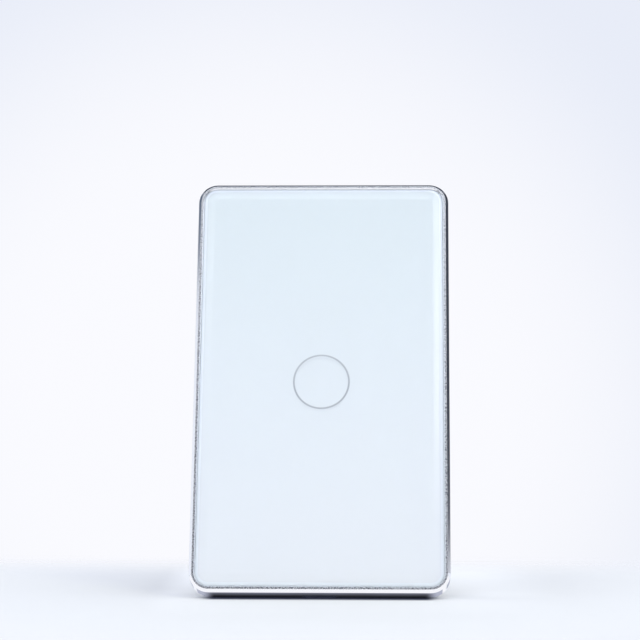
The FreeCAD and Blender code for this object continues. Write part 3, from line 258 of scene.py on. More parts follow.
# Floor: pale and matt, with a deep shade painted at the plate's foot and a lighter patch of painted light
# round it. Spans run along X and along Y, and the floor turns into the backdrop with distance.

floorLook = {
    "size": 3.0,
    "cells": 8,
    "low": -60.0 * mm,                    # the plate's lower rear edge
    "rough": 0.9,
    "colour": (0.735, 0.735, 0.675),
    "clouding": 0.985,                    # the darker tone's share of the colour
    "cloudScale": 90.0,
    "cloudDetail": 3.0,
    "paintedLight": (0.905, 0.905, 0.83),        # painted light beside and behind the foot, standing in for light thrown by the bright edge
    "patchLeft": (-49.0 * mm, -38.0 * mm),
    "patchRight": (38.0 * mm, 70.0 * mm),
    "patchAhead": (-45.0 * mm, -9.0 * mm),
    "aheadShare": 0.22,                   # of the patch in front of the plate
    "patchBehind": (-8.0 * mm, 12.0 * mm),
    "patchEnd": (50.0 * mm, 110.0 * mm),
    "foot": (0.085, 0.092, 0.125),        # painted deep shade right under the lower edge
    "footWidth": 31.0 * mm,               # half of the foot's straight part
    "footSoft": 2.0 * mm,
    "footFront": (-8.5 * mm, -4.2 * mm),
    "footBack": (3.0 * mm, 5.5 * mm),
    "gleam": (0.92, 0.93, 0.98),          # painted reflection: the floor glows this colour for polished surfaces
    "gleamFoot": (-5.5 * mm, -0.2 * mm),  # painted reflection bright in front of the plate, painted shade at its foot
    # share of the painted reflection left in the painted shade at the foot
    "gleamShade": 0.03,
    "gleamBack": (8.0 * mm, 12.0 * mm),   # where the floor mirrors as it is again
    "fade": (0.10, 0.21),                 # metres from the plate's middle
    "fadeBehind": (0.045, 0.115),         # sooner behind the plate
}


def floorMesh(look, tilt):
    forward, upward = studioAxes(tilt)
    mesh = bmesh.new()
    bmesh.ops.create_grid(mesh, x_segments=look["cells"], y_segments=look["cells"], size=look["size"])
    turn = Matrix((Vector((1, 0, 0)), forward, upward)).transposed().to_4x4()
    bmesh.ops.transform(mesh, verts=mesh.verts, matrix=Matrix.Translation((0, 0, look["low"])) @ turn)
    data = bpy.data.meshes.new("studioFloor")
    mesh.to_mesh(data)
    mesh.free()
    return data


def floorPaint(tree, look, underEdge):
    side = axisValue(tree, "X")
    depth = axisValue(tree, "Y")
    clouds = noise(tree, objectCoords(tree), look["cloudScale"], look["cloudDetail"])
    darker = tuple(part * look["clouding"] for part in look["colour"])
    paint = mixColour(tree, clouds, darker, look["colour"])
    # painted light: a lighter patch beside and behind the foot
    left = ramp(tree, side, *look["patchLeft"])
    right = ramp(tree, side, *look["patchRight"], 1.0, 0.0)
    end = ramp(tree, depth, *look["patchEnd"], 1.0, 0.0)
    around = calc(tree, "MULTIPLY", calc(tree, "MULTIPLY", left, right), end)
    gain = calc(tree, "MAXIMUM", ramp(tree, depth, *look["patchBehind"]),
                ramp(tree, depth, *look["patchAhead"], 0.0, look["aheadShare"]))
    paint = mixColour(tree, calc(tree, "MULTIPLY", around, gain), paint, look["paintedLight"])
    # painted shade: a dark line on the floor under the plate's lower edge
    close = calc(tree, "MULTIPLY", ramp(tree, depth, *look["footFront"]),
                 ramp(tree, depth, *look["footBack"], 1.0, 0.0))
    return mixColour(tree, calc(tree, "MULTIPLY", underEdge, close), paint, look["foot"])


def floorPaintedGleam(tree, look, underEdge):
    depth = axisValue(tree, "Y")
    # the floor glows for polished surfaces only: a painted reflection, darkened at the foot by painted shade
    glow = tree.nodes.new("ShaderNodeEmission")
    glow.inputs["Color"].default_value = (*look["gleam"], 1.0)
    shade = ramp(tree, depth, *look["gleamFoot"], 0.0, 1.0 - look["gleamShade"])
    dark = calc(tree, "MULTIPLY", underEdge, shade)
    tree.links.new(calc(tree, "SUBTRACT", 1.0, dark), glow.inputs["Strength"])
    ahead = ramp(tree, depth, *look["gleamBack"], 1.0, 0.0)
    polished = tree.nodes.new("ShaderNodeLightPath").outputs["Is Glossy Ray"]
    return glow.outputs["Emission"], calc(tree, "MULTIPLY", ahead, polished)


def floorFade(tree, look):
    length = tree.nodes.new("ShaderNodeVectorMath")
    length.operation = "LENGTH"
    tree.links.new(objectCoords(tree), length.inputs[0])
    fade = calc(tree, "MAXIMUM", ramp(tree, length.outputs["Value"], *look["fade"]),
                ramp(tree, axisValue(tree, "Y"), *look["fadeBehind"]))
    under = tree.nodes.new("ShaderNodeNewGeometry").outputs["Backfacing"]
    return calc(tree, "MAXIMUM", fade, under)


def makeFloor(look, tilt):
    material = bpy.data.materials.new("paleFloor")
    material.use_nodes = True
    tree = material.node_tree
    shader = tree.nodes["Principled BSDF"]
    shader.inputs["Roughness"].default_value = look["rough"]
    shader.inputs["Specular IOR Level"].default_value = 0.0
    underEdge = band(tree, axisValue(tree, "X"), -look["footWidth"], look["footWidth"], look["footSoft"])
    tree.links.new(floorPaint(tree, look, underEdge), shader.inputs["Base Color"])
    gleam, mirrored = floorPaintedGleam(tree, look, underEdge)
    surface = mixShader(tree, mirrored, shader.outputs["BSDF"], gleam)
    clear = tree.nodes.new("ShaderNodeBsdfTransparent").outputs["BSDF"]
    shown = mixShader(tree, floorFade(tree, look), surface, clear)
    tree.links.new(shown, tree.nodes["Material Output"].inputs["Surface"])
    floor = bpy.data.objects.new("studioFloor", floorMesh(look, tilt))
    floor.data.materials.append(material)
    scene.collection.objects.link(floor)


# Lamps: degrees round from behind the camera and up from level, then metres and watts

lamps = {
    "rightLamp": {"round": 45.0, "up": 36.0, "away": 1.25, "size": 0.36, "power": 1.35,
                  "colour": (1.0, 0.98, 0.50)},
    "leftLamp": {"round": -46.0, "up": 36.0, "away": 1.25, "size": 0.45, "power": 0.24,
                 "colour": (1.0, 0.98, 0.50)},
}


def addLamp(name, look, tilt):
    forward, upward = studioAxes(tilt)
    around = math.radians(look["round"])
    rise = math.radians(look["up"])
    level = math.cos(rise) * look["away"]
    place = (Vector((1, 0, 0)) * math.sin(around) * level - forward * math.cos(around) * level
             + upward * math.sin(rise) * look["away"])
    data = bpy.data.lights.new(name, "AREA")
    data.shape = "SQUARE"
    data.size = look["size"]
    data.energy = look["power"]
    data.color = look["colour"]
    lamp = bpy.data.objects.new(name, data)
    scene.collection.objects.link(lamp)
    lamp.location = place
    lamp.rotation_euler = (-place).to_track_quat("-Z", "Y").to_euler()
    lamp.visible_camera = False
    lamp.visible_glossy = False


makeWorld(backdropLook, mirrorCards, studioTilt)
makeFloor(floorLook, studioTilt)
for lampName, lampLook in lamps.items():
    addLamp(lampName, lampLook, studioTilt)
print("studio ready")


# Node groups that several finishes share. Their scales are in cells per metre.

grainShape = {"fineDetail": 3.0, "coarseShare": 0.31, "coarseDetail": 2.0}
marksShape = {
    "cloudDetail": 4.0,
    "cloud": (0.38, 0.68),
    "stretch": (26.0, 26.0, 1.4),         # scratches run up and down, a little askew
    "turn": (0.0, 0.5, 0.3),              # radians
    "scratchDetail": 1.0,
    "scratch": (0.68, 0.76),
}
brushShape = {"stretch": (1.0, 6.0, 0.05), "detail": 2.0}


def newGroup(name, inputs, outputs):
    group = bpy.data.node_groups.new(name, "ShaderNodeTree")
    for label, kind in inputs.items():
        group.interface.new_socket(label, in_out="INPUT", socket_type=kind)
    for label in outputs:
        group.interface.new_socket(label, in_out="OUTPUT", socket_type="NodeSocketFloat")
    entry = group.nodes.new("NodeGroupInput")
    leave = group.nodes.new("NodeGroupOutput")
    return group, entry.outputs, leave.inputs


patternInputs = {"Vector": "NodeSocketVector", "Scale": "NodeSocketFloat"}
turnsInputs = {"Along": "NodeSocketFloat", "Pitch": "NodeSocketFloat"}


def makeGrainGroup(shape):
    group, entry, leave = newGroup("surfaceGrain", patternInputs, ("Height",))
    fine = noise(group, entry["Vector"], entry["Scale"], shape["fineDetail"])
    coarseScale = calc(group, "MULTIPLY", entry["Scale"], shape["coarseShare"])
    coarse = noise(group, entry["Vector"], coarseScale, shape["coarseDetail"])
    group.links.new(calc(group, "MULTIPLY", calc(group, "ADD", fine, coarse), 0.5), leave["Height"])


def makeMarksGroup(shape):
    group, entry, leave = newGroup("handlingMarks", patternInputs, ("Mask", "Scratch"))
    cloud = noise(group, entry["Vector"], entry["Scale"], shape["cloudDetail"])
    group.links.new(ramp(group, cloud, *shape["cloud"]), leave["Mask"])
    askew = stretched(group, entry["Vector"], shape["stretch"], shape["turn"])
    lines = noise(group, askew, entry["Scale"], shape["scratchDetail"])
    group.links.new(ramp(group, lines, *shape["scratch"]), leave["Scratch"])


def makeBrushGroup(shape):
    group, entry, leave = newGroup("brushedLines", patternInputs, ("Height",))
    drawn = stretched(group, entry["Vector"], shape["stretch"])
    group.links.new(noise(group, drawn, entry["Scale"], shape["detail"]), leave["Height"])


def makeSpeckleGroup():
    group, entry, leave = newGroup("blastedSpeckle", patternInputs, ("Height", "Glint"))
    cells = group.nodes.new("ShaderNodeTexVoronoi")
    group.links.new(entry["Vector"], cells.inputs["Vector"])
    group.links.new(entry["Scale"], cells.inputs["Scale"])
    group.links.new(cells.outputs["Distance"], leave["Height"])
    split = group.nodes.new("ShaderNodeSeparateColor")
    group.links.new(cells.outputs["Color"], split.inputs[0])
    group.links.new(split.outputs[0], leave["Glint"])


def makeTurnsGroup():
    group, entry, leave = newGroup("woundTurns", turnsInputs, ("Height",))
    phase = calc(group, "MULTIPLY", calc(group, "DIVIDE", entry["Along"], entry["Pitch"]), math.tau)
    wave = calc(group, "SINE", phase)
    group.links.new(calc(group, "MULTIPLY_ADD", wave, 0.5, 0.5), leave["Height"])


makeGrainGroup(grainShape)
makeMarksGroup(marksShape)
makeBrushGroup(brushShape)
makeSpeckleGroup()
makeTurnsGroup()
print("node groups made")


def useGroup(tree, name, **values):
    node = tree.nodes.new("ShaderNodeGroup")
    node.node_tree = bpy.data.node_groups[name]
    for label, value in values.items():
        feed(tree, node.inputs[label], value)
    return node.outputs


def addBump(tree, shader, height, strength, depth):
    bump = tree.nodes.new("ShaderNodeBump")
    bump.inputs["Strength"].default_value = strength
    bump.inputs["Distance"].default_value = depth
    tree.links.new(height, bump.inputs["Height"])
    tree.links.new(bump.outputs["Normal"], shader.inputs["Normal"])


def newFinish(name, metallic=0.0, coat=0.0, coatRoughness=0.1):
    material = bpy.data.materials.new(name)
    material.use_nodes = True
    shader = material.node_tree.nodes["Principled BSDF"]
    shader.inputs["Metallic"].default_value = metallic
    shader.inputs["Coat Weight"].default_value = coat
    shader.inputs["Coat Roughness"].default_value = coatRoughness
    return material, material.node_tree, shader


# Plain moulded, plated and dipped finishes: two tones, a span of roughness, a grain and marks

plainDefaults = {
    "metallic": 0.0,
    "coat": 0.0,
    "shine": 0.5,
    "grainScale": 5000.0,
    "grainStrength": 0.25,
    "grainDepth": 0.05 * mm,
    "markScale": 70.0,
    "scratch": 0.25,
    "wornGain": 1.12,                     # scratches are paler than the first tone
    "wornLift": 0.02,
    "brushed": 0.0,                       # scale of brushed lines, or 0 for none
    "brushedShare": 0.8,                  # of the lines and of the grain under them
    "grainShare": 0.2,
}


def plainFinish(name, values):
    look = {**plainDefaults, **values}
    material, tree, shader = newFinish(name, look["metallic"], look["coat"])
    shader.inputs["Specular IOR Level"].default_value = look["shine"]
    coords = objectCoords(tree)
    grain = useGroup(tree, "surfaceGrain", Vector=coords, Scale=look["grainScale"])
    marks = useGroup(tree, "handlingMarks", Vector=coords, Scale=look["markScale"])
    tone = mixColour(tree, marks["Mask"], look["colour"], look["second"])
    worn = tuple(min(1.0, part * look["wornGain"] + look["wornLift"]) for part in look["colour"])
    scratched = calc(tree, "MULTIPLY", marks["Scratch"], look["scratch"])
    tree.links.new(mixColour(tree, scratched, tone, worn), shader.inputs["Base Color"])
    tree.links.new(mixValue(tree, marks["Mask"], *look["rough"]), shader.inputs["Roughness"])
    height = grain["Height"]
    if look["brushed"]:
        lines = useGroup(tree, "brushedLines", Vector=coords, Scale=look["brushed"])
        under = calc(tree, "MULTIPLY", height, look["grainShare"])
        height = calc(tree, "MULTIPLY_ADD", lines["Height"], look["brushedShare"], under)
    addBump(tree, shader, height, look["grainStrength"], look["grainDepth"])
    return material


plainLooks = {
    "carrier_plastic": {"colour": (0.062, 0.052, 0.048), "second": (0.078, 0.067, 0.061),
                        "rough": (0.5, 0.62), "grainScale": 6000.0, "grainStrength": 0.3, "shine": 0.2},
    "light_diffuser": {"colour": (0.86, 0.88, 0.92), "second": (0.82, 0.85, 0.9), "rough": (0.25, 0.35),
                       "grainStrength": 0.08},
    "dark_plastic": {"colour": (0.055, 0.057, 0.064), "second": (0.072, 0.074, 0.082), "rough": (0.5, 0.64),
                     "grainScale": 4200.0, "grainStrength": 0.55, "grainDepth": 0.08 * mm, "shine": 0.2},
    "yoke_steel": {"colour": (0.62, 0.64, 0.66), "second": (0.70, 0.69, 0.63), "rough": (0.26, 0.42),
                   "metallic": 1.0, "brushed": 700.0, "grainStrength": 0.18, "scratch": 0.6},
    "screw_steel": {"colour": (0.60, 0.60, 0.61), "second": (0.52, 0.52, 0.54), "rough": (0.22, 0.38),
                    "metallic": 1.0, "grainScale": 9000.0, "grainStrength": 0.12, "scratch": 0.5},
    "ground_green": {"colour": (0.05, 0.33, 0.10), "second": (0.09, 0.42, 0.16), "rough": (0.25, 0.4),
                     "metallic": 1.0, "grainScale": 9000.0, "grainStrength": 0.12, "scratch": 0.5},
    "brass": {"colour": (0.72, 0.50, 0.20), "second": (0.60, 0.41, 0.17), "rough": (0.24, 0.42),
              "metallic": 1.0, "brushed": 900.0, "grainStrength": 0.15, "scratch": 0.5},
    "spring_plating": {"colour": (0.76, 0.75, 0.72), "second": (0.70, 0.69, 0.67), "rough": (0.12, 0.24),
                       "metallic": 1.0, "grainStrength": 0.05},
    "chip_black": {"colour": (0.028, 0.029, 0.031), "second": (0.042, 0.043, 0.045), "rough": (0.5, 0.66),
                   "grainScale": 9000.0, "grainStrength": 0.3},
    "shield_nickel": {"colour": (0.66, 0.65, 0.63), "second": (0.58, 0.58, 0.57), "rough": (0.24, 0.36),
                      "metallic": 1.0, "brushed": 800.0, "grainStrength": 0.1},
    "resistor_black": {"colour": (0.035, 0.036, 0.04), "second": (0.05, 0.05, 0.055), "rough": (0.3, 0.45),
                       "grainStrength": 0.1},
    "capacitor_tan": {"colour": (0.42, 0.27, 0.15), "second": (0.50, 0.34, 0.2), "rough": (0.4, 0.55),
                      "grainScale": 9000.0, "grainStrength": 0.2},
    "connector_black": {"colour": (0.03, 0.03, 0.032), "second": (0.045, 0.045, 0.047), "rough": (0.4, 0.52),
                        "grainStrength": 0.2},
    "relay_black": {"colour": (0.03, 0.031, 0.035), "second": (0.04, 0.041, 0.046), "rough": (0.22, 0.34),
                    "grainStrength": 0.12, "coat": 0.2},
    "bobbin_white": {"colour": (0.74, 0.72, 0.66), "second": (0.68, 0.66, 0.6), "rough": (0.4, 0.52),
                     "grainStrength": 0.15},
    "relay_iron": {"colour": (0.56, 0.56, 0.54), "second": (0.48, 0.48, 0.47), "rough": (0.3, 0.44),
                   "metallic": 1.0, "brushed": 600.0, "grainStrength": 0.15},
    "contact_copper": {"colour": (0.72, 0.36, 0.21), "second": (0.62, 0.3, 0.18), "rough": (0.26, 0.4),
                       "metallic": 1.0, "grainStrength": 0.12},
    "tinned_metal": {"colour": (0.66, 0.67, 0.68), "second": (0.57, 0.58, 0.6), "rough": (0.28, 0.46),
                     "metallic": 1.0, "brushed": 800.0, "grainStrength": 0.14, "scratch": 0.6},
    "ferrite": {"colour": (0.05, 0.05, 0.053), "second": (0.075, 0.074, 0.075), "rough": (0.6, 0.75),
                "grainScale": 3500.0, "grainStrength": 0.5},
    "winding_tape": {"colour": (0.72, 0.52, 0.05), "second": (0.64, 0.45, 0.05), "rough": (0.24, 0.36),
                     "grainStrength": 0.1},
    "can_sleeve": {"colour": (0.02, 0.025, 0.05), "second": (0.03, 0.035, 0.065), "rough": (0.2, 0.3),
                   "grainStrength": 0.08},
    "box_yellow": {"colour": (0.74, 0.52, 0.06), "second": (0.67, 0.46, 0.05), "rough": (0.3, 0.42),
                   "grainStrength": 0.12},
    "varistor_blue": {"colour": (0.02, 0.11, 0.36), "second": (0.03, 0.14, 0.42), "rough": (0.14, 0.26),
                      "grainScale": 1200.0, "grainStrength": 0.2, "coat": 0.4},
    "fuse_ceramic": {"colour": (0.72, 0.71, 0.66), "second": (0.66, 0.65, 0.6), "rough": (0.3, 0.42),
                     "grainStrength": 0.12},
    "terminal_plastic": {"colour": (0.30, 0.31, 0.33), "second": (0.35, 0.36, 0.38), "rough": (0.42, 0.55),
                         "grainScale": 5000.0, "grainStrength": 0.35},
    "led_white": {"colour": (0.86, 0.82, 0.52), "second": (0.9, 0.88, 0.7), "rough": (0.15, 0.25),
                  "grainStrength": 0.05},
}


# Metal frame: fine blasted lip, polished chamfer and satin sides, with painted shade that makes the sides
# darker and bluer

frameLook = {
    "lipBack": -6.585 * mm,               # where the lip ends and the chamfer begins
    "chamferBack": -5.42 * mm,            # where it ends and the satin side begins
    "edgeSoft": 0.02 * mm,
    "lip": (0.72, 0.73, 0.77),
    "lipDark": (0.62, 0.64, 0.68),
    "chamfer": (1.0, 1.0, 1.0),
    # painted shade: the sides are darker and bluer than the metal itself
    "side": (0.35, 0.38, 0.50),
    "lipRough": (0.38, 0.20),             # from speckle to speckle
    "chamferRough": 0.12,
    "sideRough": (0.30, 0.38),
    "wallInset": (34.9 * mm, 58.9 * mm),  # inside this lies the pocket for the glass
    "speckleScale": 3600.0,
    "grainScale": 6000.0,
    "markScale": 90.0,
    "grainShare": 0.1,
    "bump": 0.3,
    "bumpDepth": 0.05 * mm,
}


def frameFinish(look):
    material, tree, shader = newFinish("frameMetal", 1.0)
    coords = objectCoords(tree)
    depth = axisValue(tree, "Y")
    soft = look["edgeSoft"]
    onChamfer = ramp(tree, depth, look["lipBack"] - soft, look["lipBack"] + soft)
    onSide = ramp(tree, depth, look["chamferBack"] - soft, look["chamferBack"] + soft)
    speckle = useGroup(tree, "blastedSpeckle", Vector=coords, Scale=look["speckleScale"])
    grain = useGroup(tree, "surfaceGrain", Vector=coords, Scale=look["grainScale"])
    marks = useGroup(tree, "handlingMarks", Vector=coords, Scale=look["markScale"])
    inX, inZ = (calc(tree, "LESS_THAN", calc(tree, "ABSOLUTE", axisValue(tree, axis)), inset)
                for axis, inset in zip("XZ", look["wallInset"]))
    inPocket = calc(tree, "MULTIPLY", inX, inZ)
    onSide = calc(tree, "MULTIPLY", onSide, calc(tree, "SUBTRACT", 1.0, inPocket))
    lipColour = mixColour(tree, speckle["Glint"], look["lipDark"], look["lip"])
    colour = mixColour(tree, onChamfer, lipColour, look["chamfer"])
    # the sides get the painted shade colour
    tree.links.new(mixColour(tree, onSide, colour, look["side"]), shader.inputs["Base Color"])
    lipRough = mixValue(tree, speckle["Glint"], *look["lipRough"])
    rough = mixValue(tree, onChamfer, lipRough, look["chamferRough"])
    sideRough = mixValue(tree, marks["Mask"], *look["sideRough"])
    tree.links.new(mixValue(tree, onSide, rough, sideRough), shader.inputs["Roughness"])
    lipHeight = calc(tree, "MULTIPLY", speckle["Height"], calc(tree, "SUBTRACT", 1.0, onChamfer))
    height = calc(tree, "ADD", lipHeight, calc(tree, "MULTIPLY", grain["Height"], look["grainShare"]))
    addBump(tree, shader, height, look["bump"], look["bumpDepth"])
    return material


# Slightly milky front glass, with its print behind it. Light for the print goes straight through.
# Lengths are in mm, and the finished mesh is scaled to metres.

sameDepth = 1e-5                          # two depths count as one within this
weldGap = 1e-6
glassLook = {
    "width": 68.68,
    "height": 116.68,
    "corner": 3.84,
    "cornerSteps": 12,
    "back": -4.02,                        # a hair in front of the print
    "edge": -6.35,
    "rim": (1.0, 0.45),                   # width and rise of the outer slope
    "bevel": (2.2, 0.2),                  # width and rise of the shallow bevel
    "soft": 0.45,                         # rounding where two slopes meet
    "softSteps": 5,
    "flatLoop": 0.1,                      # keeps the flat's shading clear of the rounding
    "slopeSlack": 0.05,                   # faces this close to the slope's end are the front's
    "smoothAngle": 40.0,
    "milky": {"clear": 0.42},             # front and bevels, with painted shade darker towards the top
    "body": {"clear": 1.0, "tint": (0.985, 0.99, 0.995)},     # sides and back
    "slope": {"clear": 0.31, "tint": (0.88, 0.93, 0.94)},     # outer slope
    # painted shade: the front's colour at its top and at its base
    "paintedShadeTop": (0.845, 0.915, 0.895),
    "paintedShadeBase": (0.98, 1.0, 1.0),
    "ring": {"radius": 7.76, "line": 0.50, "soft": 0.07, "tint": (0.575, 0.60, 0.60)},
    "index": 1.5,
    "smudge": 0.012,
    "smudgeScale": 35.0,
    "through": (0.97, 0.97, 0.97),
}


def roundedPlate(width, height, corner, steps, depth):
    plate = bmesh.new()
    bmesh.ops.create_grid(plate, x_segments=1, y_segments=1, size=0.5)
    bmesh.ops.scale(plate, verts=plate.verts, vec=(width, height, 1.0))
    bmesh.ops.bevel(plate, geom=plate.verts[:], offset=corner, offset_type="OFFSET", affect="VERTICES",
                    segments=steps, profile=0.5, material=-1)
    turn = Matrix.Translation((0.0, depth, 0.0)) @ Matrix.Rotation(math.radians(90), 4, "X")
    bmesh.ops.transform(plate, verts=plate.verts, matrix=turn)
    return plate


def raiseFace(mesh, faces, depth):
    grown = bmesh.ops.extrude_face_region(mesh, geom=faces)["geom"]
    verts = [item for item in grown if isinstance(item, bmesh.types.BMVert)]
    for vert in verts:
        vert.co.y = depth
    return [item for item in grown if isinstance(item, bmesh.types.BMFace)]


def edgesAt(mesh, depth):
    return [edge for edge in mesh.edges if all(abs(vert.co.y - depth) < sameDepth for vert in edge.verts)]


def finishMesh(name, mesh, materials, smoothAngle):
    bmesh.ops.remove_doubles(mesh, verts=mesh.verts, dist=weldGap)
    bmesh.ops.recalc_face_normals(mesh, faces=mesh.faces)
    bmesh.ops.scale(mesh, verts=mesh.verts, vec=(mm, mm, mm))
    for face in mesh.faces:
        face.smooth = True
    data = bpy.data.meshes.new(name)
    mesh.to_mesh(data)
    mesh.free()
    data.set_sharp_from_angle(angle=math.radians(smoothAngle))
    for material in materials:
        data.materials.append(material)
    piece = bpy.data.objects.new(name, data)
    scene.collection.objects.link(piece)
    return piece


def paintedShadeAndRing(tree, look):
    across = axisValue(tree, "X")
    height = axisValue(tree, "Z")
    half = look["height"] / 2 * mm
    # painted shade from the base to the top; the ring is print
    tint = mixColour(tree, ramp(tree, height, -half, half, kind="LINEAR"), look["paintedShadeBase"], look["paintedShadeTop"])
    square = calc(tree, "MULTIPLY_ADD", height, height, calc(tree, "MULTIPLY", across, across))
    ring = look["ring"]
    radius, line, soft = (ring[size] * mm for size in ("radius", "line", "soft"))
    onLine = band(tree, calc(tree, "SQRT", square), radius - line / 2, radius + line / 2, soft)
    return mixColour(tree, onLine, tint, ring["tint"])


def glassFinish(name, look, part):
    material, tree, shader = newFinish(name)
    tint = (*part["tint"], 1.0) if "tint" in part else paintedShadeAndRing(tree, look)
    feed(tree, shader.inputs["Base Color"], tint)
    shader.inputs["IOR"].default_value = look["index"]
    shader.inputs["Transmission Weight"].default_value = part["clear"]
    marks = useGroup(tree, "handlingMarks", Vector=objectCoords(tree), Scale=look["smudgeScale"])
    tree.links.new(calc(tree, "MULTIPLY", marks["Mask"], look["smudge"]), shader.inputs["Roughness"])
    shadow = tree.nodes.new("ShaderNodeLightPath").outputs["Is Shadow Ray"]
    through = tree.nodes.new("ShaderNodeBsdfTransparent")
    through.inputs["Color"].default_value = (*look["through"], 1.0)
    shown = mixShader(tree, shadow, shader.outputs["BSDF"], through.outputs["BSDF"])
    tree.links.new(shown, tree.nodes["Material Output"].inputs["Surface"])
    return material


def makeGlass(look):
    mesh = roundedPlate(look["width"], look["height"], look["corner"], look["cornerSteps"], look["back"])
    front = raiseFace(mesh, mesh.faces[:], look["edge"])
    levels = [look["edge"]]
    for width, rise in (look["rim"], look["bevel"]):
        bmesh.ops.inset_region(mesh, faces=front, thickness=width, depth=rise, use_even_offset=True)
        levels.append(front[0].calc_center_median().y)
    for level in levels:
        bmesh.ops.bevel(mesh, geom=edgesAt(mesh, level), offset=look["soft"], offset_type="OFFSET",
                        affect="EDGES", segments=look["softSteps"], profile=0.5, material=-1,
                        clamp_overlap=True)
    flat = [face for face in mesh.faces if abs(face.calc_center_median().y - levels[-1]) < sameDepth]
    flat = [max(flat, key=lambda face: face.calc_area())]
    bmesh.ops.inset_region(mesh, faces=flat, thickness=look["flatLoop"], use_even_offset=True)
    parts = {"frontGlass": look["milky"], "glassBody": look["body"], "glassRim": look["slope"]}
    materials = [glassFinish(name, look, part) for name, part in parts.items()]
    glass = finishMesh("frontGlass", mesh, materials, look["smoothAngle"])
    slopeEnd = look["edge"] - look["rim"][1] + look["slopeSlack"]
    for face in glass.data.polygons:
        depth = face.center.y / mm
        if depth > look["edge"] + look["soft"]:
            face.material_index = 1       # sides and back
        elif depth > slopeEnd:
            face.material_index = 2       # outer slope
    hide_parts("glass_panel")
    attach(glass, "front_panel")


makeGlass(glassLook)
print("glass made")


# White print and the glue that shows through its ring

printLook = {"colour": (0.93, 0.95, 0.96), "second": (0.92, 0.945, 0.955), "rough": (0.5, 0.6),
             "grainScale": 9000.0, "grainStrength": 0.03, "scratch": 0.0, "markScale": 25.0}
glueLook = {"colour": (0.50, 0.53, 0.56), "second": (0.47, 0.50, 0.53), "rough": (0.3, 0.4),
            "grainStrength": 0.03, "scratch": 0.0}


# Circuit boards: solder mask, copper tracks below it and tinned holes

boardDefaults = {
    "tin": (0.62, 0.60, 0.52),
    "rough": (0.38, 0.25),                # of the mask and of the tin
    "coat": 0.35,
    "coatRough": 0.15,
    "trackScale": 240.0,
    "trackShift": 0.37,
    "trackSquash": 1.6,
    "squashEvery": 3,
    "trackGap": 0.06,
    "trackSoft": 0.1,
    "holeScale": 210.0,
    "holeScatter": 0.85,
    "holeEdge": (0.06, 0.08),
    "bump": 0.25,
    "bumpDepth": 0.03 * mm,
}
boardLooks = {
    "board_black": {"mask": (0.012, 0.014, 0.017), "line": (0.03, 0.034, 0.04)},
    "board_green": {"mask": (0.012, 0.10, 0.045), "line": (0.03, 0.18, 0.08)},
    "module_blue": {"mask": (0.012, 0.035, 0.14), "line": (0.03, 0.07, 0.22)},
}


def boardFinish(name, values):
    look = {**boardDefaults, **values}
    material, tree, shader = newFinish(name, 0.0, look["coat"], look["coatRough"])
    flat = tree.nodes.new("ShaderNodeCombineXYZ")
    tree.links.new(axisValue(tree, "X"), flat.inputs["X"])
    tree.links.new(axisValue(tree, "Z"), flat.inputs["Y"])
    bricks = tree.nodes.new("ShaderNodeTexBrick")
    bricks.offset = look["trackShift"]
    bricks.squash = look["trackSquash"]
    bricks.squash_frequency = look["squashEvery"]
    tree.links.new(flat.outputs["Vector"], bricks.inputs["Vector"])
    bricks.inputs["Scale"].default_value = look["trackScale"]
    bricks.inputs["Mortar Size"].default_value = look["trackGap"]
    bricks.inputs["Mortar Smooth"].default_value = look["trackSoft"]
    holes = tree.nodes.new("ShaderNodeTexVoronoi")
    holes.voronoi_dimensions = "2D"
    tree.links.new(flat.outputs["Vector"], holes.inputs["Vector"])
    holes.inputs["Scale"].default_value = look["holeScale"]
    holes.inputs["Randomness"].default_value = look["holeScatter"]
    tinned = ramp(tree, holes.outputs["Distance"], *look["holeEdge"], 1.0, 0.0)
    board = mixColour(tree, bricks.outputs["Fac"], look["line"], look["mask"])
    tree.links.new(mixColour(tree, tinned, board, look["tin"]), shader.inputs["Base Color"])
    tree.links.new(tinned, shader.inputs["Metallic"])
    tree.links.new(mixValue(tree, tinned, *look["rough"]), shader.inputs["Roughness"])
    addBump(tree, shader, bricks.outputs["Fac"], look["bump"], look["bumpDepth"])
    return material


# The ground screw's thread, a helix along X in the relief

threadLooks = {
    "ground_screw": {"base": "ground_green", "pitch": 0.794 * mm, "bump": 1.0, "bumpDepth": 0.28 * mm},
}


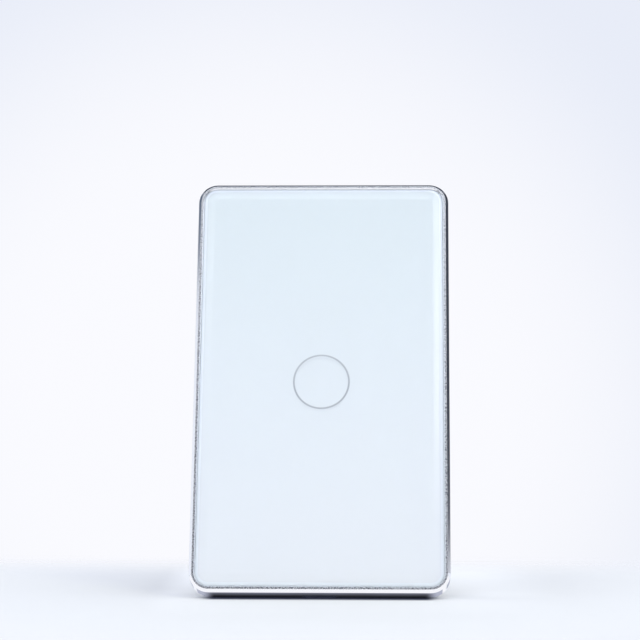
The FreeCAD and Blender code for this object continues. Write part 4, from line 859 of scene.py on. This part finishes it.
def threadFinish(node, look, base):
    low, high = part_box(node)
    middle = (low + high) / 2
    material = base.copy()
    tree = material.node_tree
    across = calc(tree, "SUBTRACT", axisValue(tree, "Y"), middle.y)
    height = calc(tree, "SUBTRACT", axisValue(tree, "Z"), middle.z)
    turn = calc(tree, "MULTIPLY", calc(tree, "ARCTAN2", height, across), look["pitch"] / math.tau)
    path = calc(tree, "ADD", axisValue(tree, "X"), turn)
    turns = useGroup(tree, "woundTurns", Along=path, Pitch=look["pitch"])
    addBump(tree, tree.nodes["Principled BSDF"], turns["Height"], look["bump"], look["bumpDepth"])
    return material


# Enamelled copper windings, with their turns along one axis and painted shade in the grooves between them

windingDefaults = {
    # painted shade in the grooves between turns
    "groove": (0.30, 0.10, 0.04),
    "copper": (0.66, 0.26, 0.10),
    "second": (0.74, 0.33, 0.14),
    "rough": (0.25, 0.4),
    "coat": 0.3,
    "markScale": 200.0,
    "bump": 0.8,
    "bumpDepth": 0.05 * mm,
}
windingLooks = {
    "relay_winding": {"axis": "Z", "pitch": 0.16 * mm},
    "inductor_winding": {"axis": "Y", "pitch": 0.3 * mm},
}


def windingFinish(name, values):
    look = {**windingDefaults, **values}
    material, tree, shader = newFinish(name, 1.0, look["coat"])
    turns = useGroup(tree, "woundTurns", Along=axisValue(tree, look["axis"]), Pitch=look["pitch"])
    marks = useGroup(tree, "handlingMarks", Vector=objectCoords(tree), Scale=look["markScale"])
    bright = mixColour(tree, marks["Mask"], look["copper"], look["second"])
    # copper on the turns, painted shade between them
    tree.links.new(mixColour(tree, turns["Height"], look["groove"], bright), shader.inputs["Base Color"])
    tree.links.new(mixValue(tree, marks["Mask"], *look["rough"]), shader.inputs["Roughness"])
    addBump(tree, shader, turns["Height"], look["bump"], look["bumpDepth"])
    return material


# Every node gets a finish of its own or its slot's. The glass panel's stand-in already has its own.

finishes = {slot: plainFinish(slot, look) for slot, look in plainLooks.items()}
finishes["frame_metal"] = frameFinish(frameLook)
finishes["clear_glue"] = plainFinish("clear_glue", glueLook)
finishes["white_print"] = plainFinish("white_print", printLook)
for boardSlot, boardLook in boardLooks.items():
    finishes[boardSlot] = boardFinish(boardSlot, boardLook)
ownFinishes = {node: windingFinish(node, look) for node, look in windingLooks.items()}
for node, look in threadLooks.items():
    ownFinishes[node] = threadFinish(node, look, finishes[look["base"]])
for part in frame["record"]["subparts"]:
    node = part["node"]
    if node == "glass_panel":
        continue
    for slot in frame["nodes"][node].material_slots:
        slot.material = ownFinishes.get(node) or finishes[part["material_slot"]]
print("finishes set")
